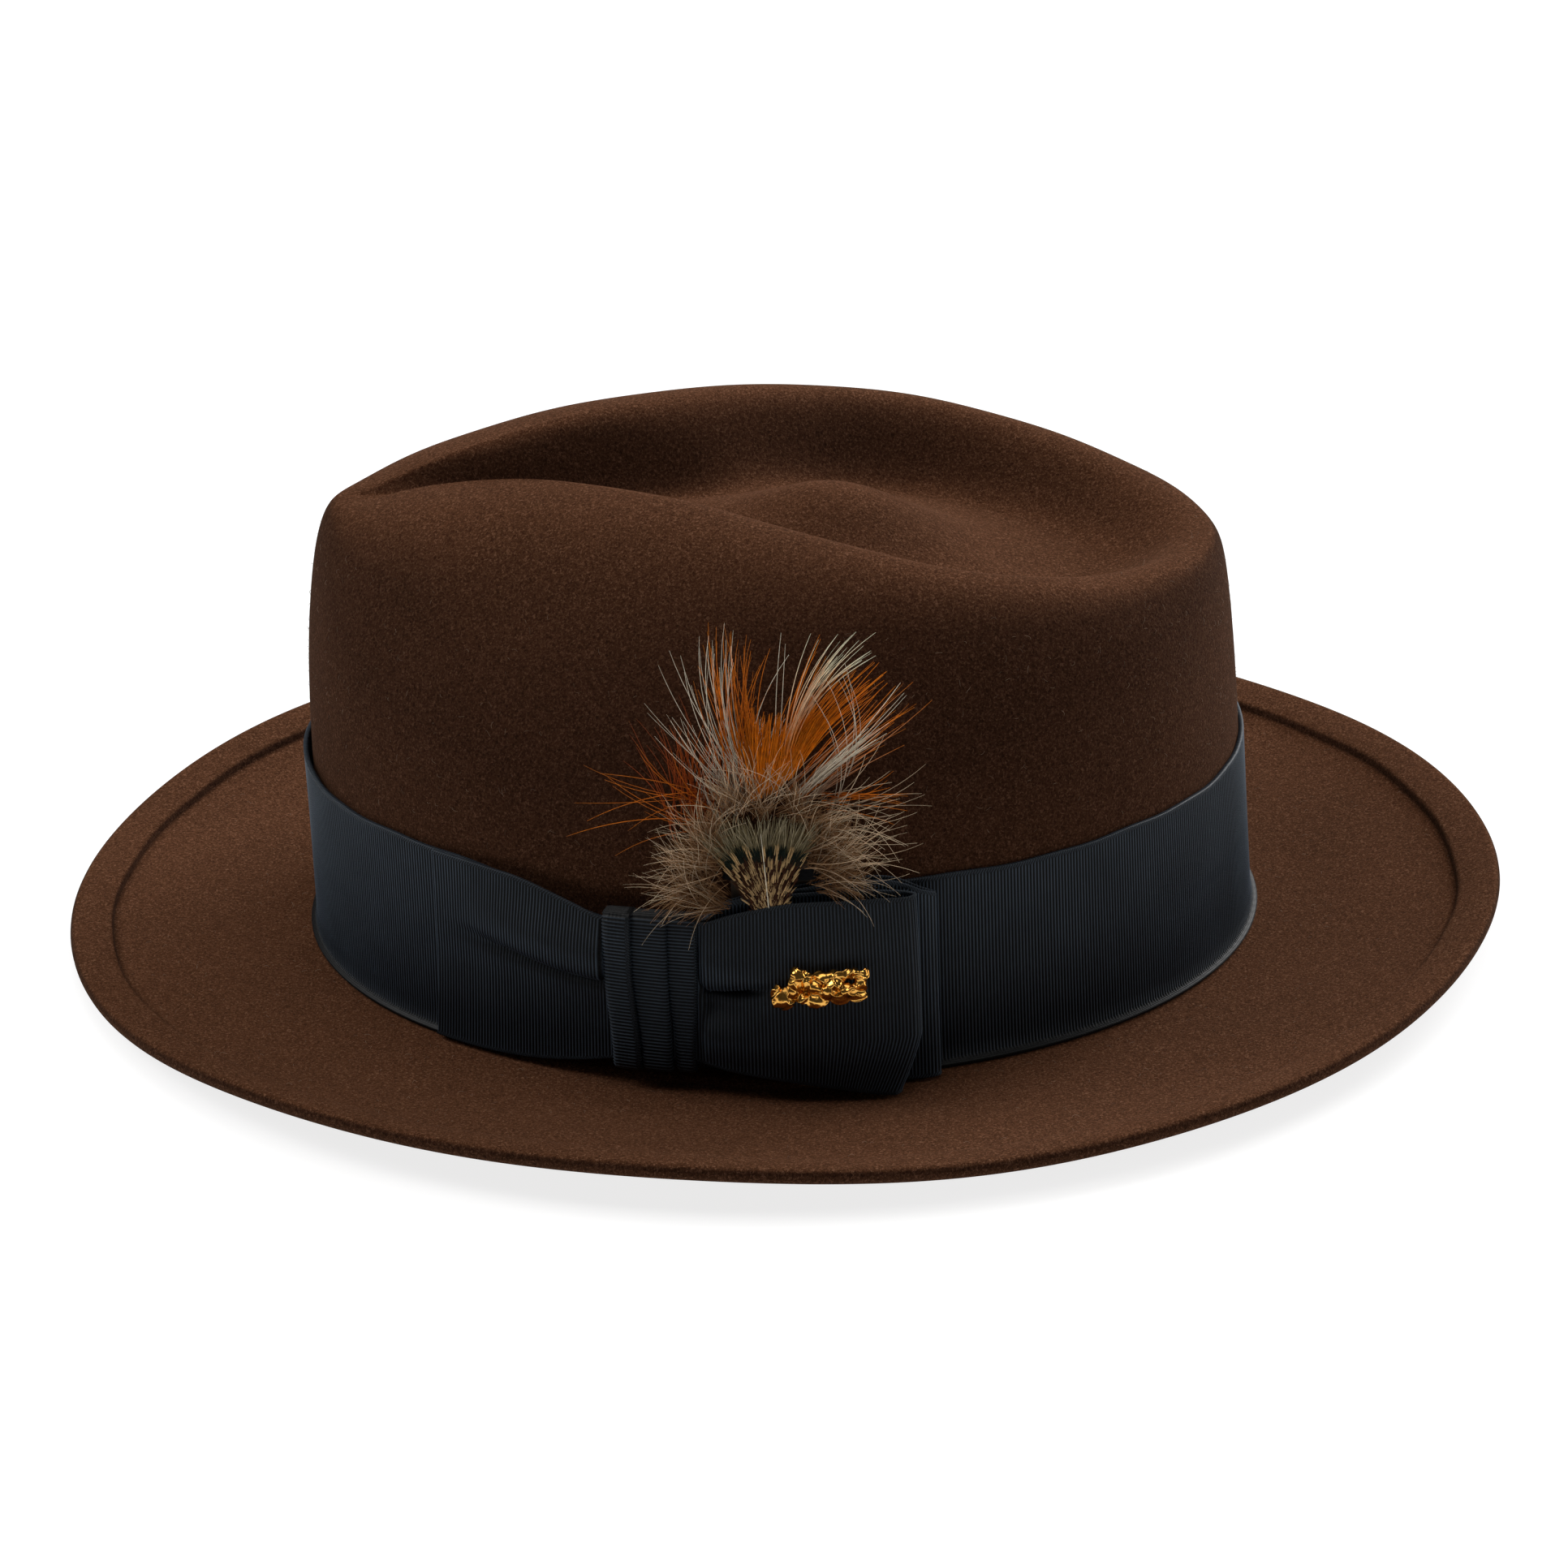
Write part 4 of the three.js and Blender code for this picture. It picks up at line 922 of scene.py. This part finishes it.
def feathers():
    barbs = strand_material("feather_barbs", 0.6, 0.12)
    down = strand_material("feather_down", 0.8, 0.05)
    orange_plume(barbs)
    pale_plume(barbs)
    rust_plume(barbs)
    amber_plume(barbs)
    spotted_feather("front", -0.55, -3.6, 21, barbs)
    spotted_feather("middle", -0.08, -0.8, 22, barbs, True)
    spotted_feather("rear", 0.36, 1.8, 23, barbs)
    fluff("front", 31, down,
          [(34, (-17, -9), (-6, 4), (-110, -20), (3, 8)), (16, (-13, -8), (4, 11), (-80, -5), (3, 7))],
          (22, (-17, -8), (-3, 12), (-125, -35), (8, 15)))
    fluff("middle", 32, down,
          [(9, (-8, 2), (13, 17), (-40, 10), (4, 8)), (6, (2, 8), (12, 16), (0, 60), (3, 7))],
          (16, (-9, 2), (12, 18), (-40, 20), (6, 11)))
    fluff("rear", 33, down,
          [(32, (7, 15), (-2, 8), (25, 105), (3, 8)), (14, (5, 12), (7, 12), (5, 80), (3, 7))],
          (28, (7, 16), (-1, 13), (45, 125), (8, 15)))


def node_box(node):
    """The centre and the half size of a CAD node, in millimetres."""
    low, high = (np.array(corner) * 1000 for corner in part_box(node))
    return (low + high) / 2, (high - low) / 2


def quill_binding(material):
    """Thread wound round the card and the quills."""
    centre, half = node_box("quill_binding")
    half = half - 0.25
    turns = 12
    angle = np.linspace(0, 2 * math.pi * turns, turns * 24 + 1)
    reach = lambda value: np.sign(value) * np.abs(value) ** 0.4
    rise = 2 * angle / angle[-1] - 1
    path = centre + half * np.stack([reach(np.cos(angle)), reach(np.sin(angle)), rise], -1)
    start, step = path[:-1], np.diff(path, axis=0)
    curves = np.stack([start + step * share for share in (0, 1 / 3, 2 / 3, 1)], 1)
    tones = np.full((len(curves), 2, 3), (0.012, 0.012, 0.013))
    strand_mesh("quill_binding_thread", curves, np.full((len(curves), 2), 0.16), tones, material, MOUNT,
                ["quill_binding"], pieces=1)


# ---- Pin ----
def pin_frame():
    """The point where the pin's post ends, and the directions along the bow, up it and out of it."""
    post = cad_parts["pin_post"]
    points = np.array([post.matrix_world @ v.co for v in post.data.vertices]) * 1000
    centre = points.mean(axis=0)
    out = np.linalg.svd(points - centre)[2][0]
    out = out * np.sign(out[0])
    along = unit(np.cross([0, 0, 1], out))
    end = centre + out * ((points - centre) @ out).max()
    return end, along, np.cross(out, along), out


def nugget(material):
    """A cast lump of gold with knobs, hollows and sharp ridges, from overlapping balls [place, radii]."""
    lumps = (
        (-7.7, -2.3, 1.5, 1.8, 1.6, 1.5), (-8.8, -1.0, 1.2, 0.9, 1.3, 1.0),
        (-6.0, -0.6, 1.5, 1.5, 1.3, 1.3), (-5.2, 1.2, 1.5, 1.2, 1.7, 1.3),
        (-4.6, 3.0, 1.5, 1.3, 1.2, 1.3), (-2.9, 1.4, 1.6, 1.2, 1.5, 1.2),
        (-3.4, -2.0, 1.5, 1.3, 1.0, 1.2), (-0.9, -2.4, 1.6, 1.8, 1.3, 1.5),
        (-1.0, 0.4, 1.7, 1.2, 1.3, 1.4), (0.4, 2.3, 1.5, 1.5, 1.0, 1.2),
        (1.4, -0.6, 1.9, 1.6, 1.3, 1.5), (2.9, 1.0, 1.8, 1.4, 1.2, 1.4),
        (3.6, 2.7, 1.4, 2.6, 0.8, 1.0), (3.8, -1.8, 1.6, 1.6, 1.2, 1.3),
        (5.6, -0.4, 1.8, 1.5, 1.3, 1.3), (6.2, 3.3, 1.4, 1.8, 0.6, 0.9),
        (7.4, -1.6, 1.5, 1.4, 1.2, 1.2), (8.0, 1.0, 1.6, 1.1, 1.5, 1.1),
        (8.9, 2.5, 1.4, 0.6, 1.5, 0.9),
    )
    end, along, up, out = pin_frame()
    rings, around = 10, 16
    drop = np.linspace(0.02, math.pi - 0.02, rings)[:, None]
    turn = full_turn(around)
    ball = np.stack([np.sin(drop) * np.cos(turn), np.sin(drop) * np.sin(turn), np.cos(drop) + 0 * turn], -1)
    ball = ball.reshape(-1, 3) * (1.42, 1.32, 1.3)
    points = []
    faces = []
    for lump in lumps:
        start = len(points)
        points += (ball * lump[3:] + lump[:3]).tolist()
        faces += grid_faces(rings, around, start=start)
        ring = list(range(start, start + around))
        faces.append(ring)
        faces.append([j + (rings - 1) * around for j in ring[::-1]])
    made = bpy.data.meshes.new("lumps")
    made.from_pydata(points, [], faces)
    rough = bpy.data.objects.new("lumps", made)
    bpy.context.collection.objects.link(rough)
    remesh = rough.modifiers.new("skin", "REMESH")
    remesh.mode = "VOXEL"
    remesh.voxel_size = 0.14
    smooth = rough.modifiers.new("even", "SMOOTH")
    smooth.iterations = 8
    evaluated = rough.evaluated_get(bpy.context.evaluated_depsgraph_get())
    skin = bpy.data.meshes.new_from_object(evaluated)
    bpy.data.objects.remove(rough)
    shape = []
    for vertex in skin.vertices:
        at = vertex.co
        ridge = 1 - abs(noise.noise(at * 0.42 + Vector((3, 1, 7)))) * 2
        fine = noise.noise(at * 2.3)
        moved = at + vertex.normal * (0.45 * ridge ** 3 + 0.015 * fine - 0.20)
        shape.append((moved.x, moved.y, max(0.15, moved.z)))
    placed = end + out * 0.3 + np.array(shape) @ [along, up, out]
    faces = [list(polygon.vertices) for polygon in skin.polygons]
    mesh_object("gold_nugget", placed, faces, material, PIN, ["pin_head"])
    bpy.data.meshes.remove(skin)


def repaint(node, material):
    """Gives a CAD node whose shape stays a material of its own."""
    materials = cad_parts[node].data.materials
    materials.clear()
    materials.append(material)


# ---- Inside the crown ----
def inside_sheet(name, node, heights, depth_at, thickness, material, closed=True):
    """A sheet round the inside of the wall, from its heights and its depth under the outside."""
    phi = full_turn(260)
    if not closed:
        phi = np.linspace(math.pi + 0.004, 3 * math.pi - 0.004, 260)
    z = np.array(heights, float)[:, None] + 0 * phi
    depth = depth_at(phi, z)
    front = inside_point(phi, z, depth)
    back = inside_point(phi, z, depth + thickness)
    return thick_sheet(name, back, front, material, [node], closed)


def sweatband(leather, thread):
    def depth(phi, z):
        wave = 0.12 * np.sin(7 * phi) * np.sin(z / 16)
        return SWEATBAND_DEPTH - 0.55 + wave - 0.3 * smoothstep(z, 49.2, 50)

    heights = [2.2, 2.4, 3.2, 4.6, 5.0, 5.4, *np.linspace(8, 47, 14), 49, 49.6, 50]
    band = inside_sheet("sweatband_roan", "sweatband", heights, depth, 1.0, leather, False)
    count = 190
    phi = math.pi + (np.arange(count) + 0.5) * 2 * math.pi / count
    half = 0.34 * math.pi / count
    stops = [inside_point(phi + turn * half, 5.0, SWEATBAND_DEPTH + 0.5 + rise)
             for turn, rise in ((-1, 0), (-0.4, 0.3), (0.4, 0.3), (1, 0))]
    tones = np.full((count, 2, 3), (0.11, 0.06, 0.035))
    strand_mesh("sweatband_stitches", np.stack(stops, 1), np.full((count, 2), 0.16), tones, thread, HAT)


def lining(satin):
    def depth(phi, z):
        folds = np.sin(22 * phi) + 0.5 * np.sin(37 * phi + 1)
        return 2.45 + 2.4 * np.maximum(0, (z - 54) / 16) + 0.18 * smoothstep(z, 50, 62) * (1 + folds)

    heights = [13, 13.4, *np.linspace(16, 66, 22), 69, 70]
    wall = inside_sheet("lining_wall_satin", "lining_wall", heights, depth, 0.3, satin)

    phi = full_turn(200)
    rim = inside_point(phi, LINING_TOP, 6.4)
    share = np.linspace(0.02, 1, 30)[:, None]
    under = rim * share[..., None]
    gathers = 0.22 * share ** 6 * np.sin(30 * phi) * np.sin(17 * phi)
    under[..., 2] = LINING_TOP + 3 * (1 - share ** 2) + gathers
    tip = thick_sheet("lining_tip_satin", under - (0, 0, 0.3), under, satin, ["lining_tip"], True)


def sweatband_bow(material):
    """A narrow ribbon tied flat in a small bow at the back of the sweatband."""
    turn, width = np.meshgrid(full_turn(120), np.linspace(-1, 1, 7))
    narrow = 0.35 + 0.65 * np.abs(np.sin(turn)) ** 0.6
    height = 3.6 * width * narrow - 0.6 * np.sin(turn) ** 2
    centre = node_box("sweatband_bow")[0]
    middle = centre + np.stack([11.6 * np.sin(turn), 0.42 * np.sin(2 * turn), height], -1)
    offset = grid_normals(middle, wrap=True) * 0.1
    thick_sheet("sweatband_bow_ribbon", middle + offset, middle - offset, material, ["sweatband_bow"],
                True)


def reed_tape(material):
    def depth(phi, z):
        return 2.4 + 0.05 * np.sin(40 * phi) + 0 * z

    heights = [0.9, 1.4, 6, 11.4, 12]
    tape = inside_sheet("reed_tape_woven", "reed_tape", heights, depth, 0.25, material)


# ---- Lint and loose hairs ----
def lint(material):
    random = np.random.default_rng(5)
    count = 1500
    phi = random.uniform(0, 2 * math.pi, count)
    out = random.uniform(4, 45, count)
    z = 47 + 45 * random.random(count) ** 0.8
    on_brim = random.random((count, 1)) < 0.45

    def place(step):
        return np.where(on_brim, brim_point(phi, out + step), wall_point(phi, z + step, 0.05))

    low = place(0)
    around = unit(brim_point(phi + 0.004, out) - brim_point(phi, out))
    upward = unit(place(0.1) - low)
    normal = unit(np.cross(around, upward))
    normal = normal * np.where(on_brim, np.sign(normal[:, 2:]), 1)
    turn = random.uniform(0, 2 * math.pi, (count, 1))
    heading = around * np.cos(turn) + upward * np.sin(turn)
    other = np.cross(normal, heading)
    size = random.uniform(0.4, 1.6, (count, 1))
    bend = random.uniform(-0.7, 0.7, (count, 1)) * size
    rise = random.uniform(0.15, 0.5, (count, 1))
    # Each hair leaves the felt, runs over it with a sideways bend and comes down again.
    stops = [low - normal * 0.1]
    for share, lifted, sideways in ((0.33, 1, 0.3), (0.66, 1, 0.9), (1, 0, 0.4)):
        stops.append(low + heading * size * share + normal * rise * lifted + other * bend * sideways)
    tones = np.array([(0.15, 0.10, 0.065), (0.21, 0.15, 0.11)]) * random.uniform(0.4, 1.5, (count, 1, 1))
    radii = np.full((count, 2), (0.035, 0.02))
    strand_mesh("felt_lint", np.stack(stops, 1), radii, tones, material, HAT, pieces=5)


make_camera()
make_studio()
grosgrain = ribbon_material()
fibre = strand_material("fibre", 0.8, 0.08)
felt_body(felt_material())
hat_band(grosgrain)
left_wing(grosgrain)
front_loop(grosgrain)
back_loop(grosgrain)
knot(grosgrain)
feathers()
quill_binding(fibre)
lint(fibre)
nugget(metal_material("gold_plate", (0.80, 0.43, 0.10), (0.62, 0.28, 0.05), 0.13, 0.08))
repaint("pin_post", metal_material("steel_pin", (0.55, 0.55, 0.56), (0.40, 0.40, 0.41), 0.2))
repaint("pin_clutch", metal_material("brass_clutch", (0.60, 0.44, 0.20), (0.42, 0.28, 0.11), 0.25))
repaint("feather_card", grained_material("card", (0.050, 0.034, 0.022), (0.070, 0.048, 0.031), 0.9))
repaint("sweatband_reed", grained_material("reed", (0.66, 0.64, 0.58), (0.72, 0.70, 0.63), 0.45, 300))
repaint("size_tag", grained_material("tag_paper", (0.80, 0.75, 0.63), (0.86, 0.82, 0.71), 0.85))
clear_film = grained_material("clear_film", (0.9, 0.93, 0.94), (0.95, 0.97, 0.98), 0.06, 200, 0.00002,
                              Transmission_Weight=0.9, IOR=1.45)
repaint("tip_shield", clear_film)
lining(satin_material())
sweatband(leather_material(), fibre)
sweatband_bow(grained_material("thin_ribbon", (0.010, 0.012, 0.015), (0.018, 0.021, 0.026), 0.5, 1500))
reed_tape(grained_material("tape", (0.036, 0.022, 0.015), (0.052, 0.033, 0.023), 0.9, 1500))
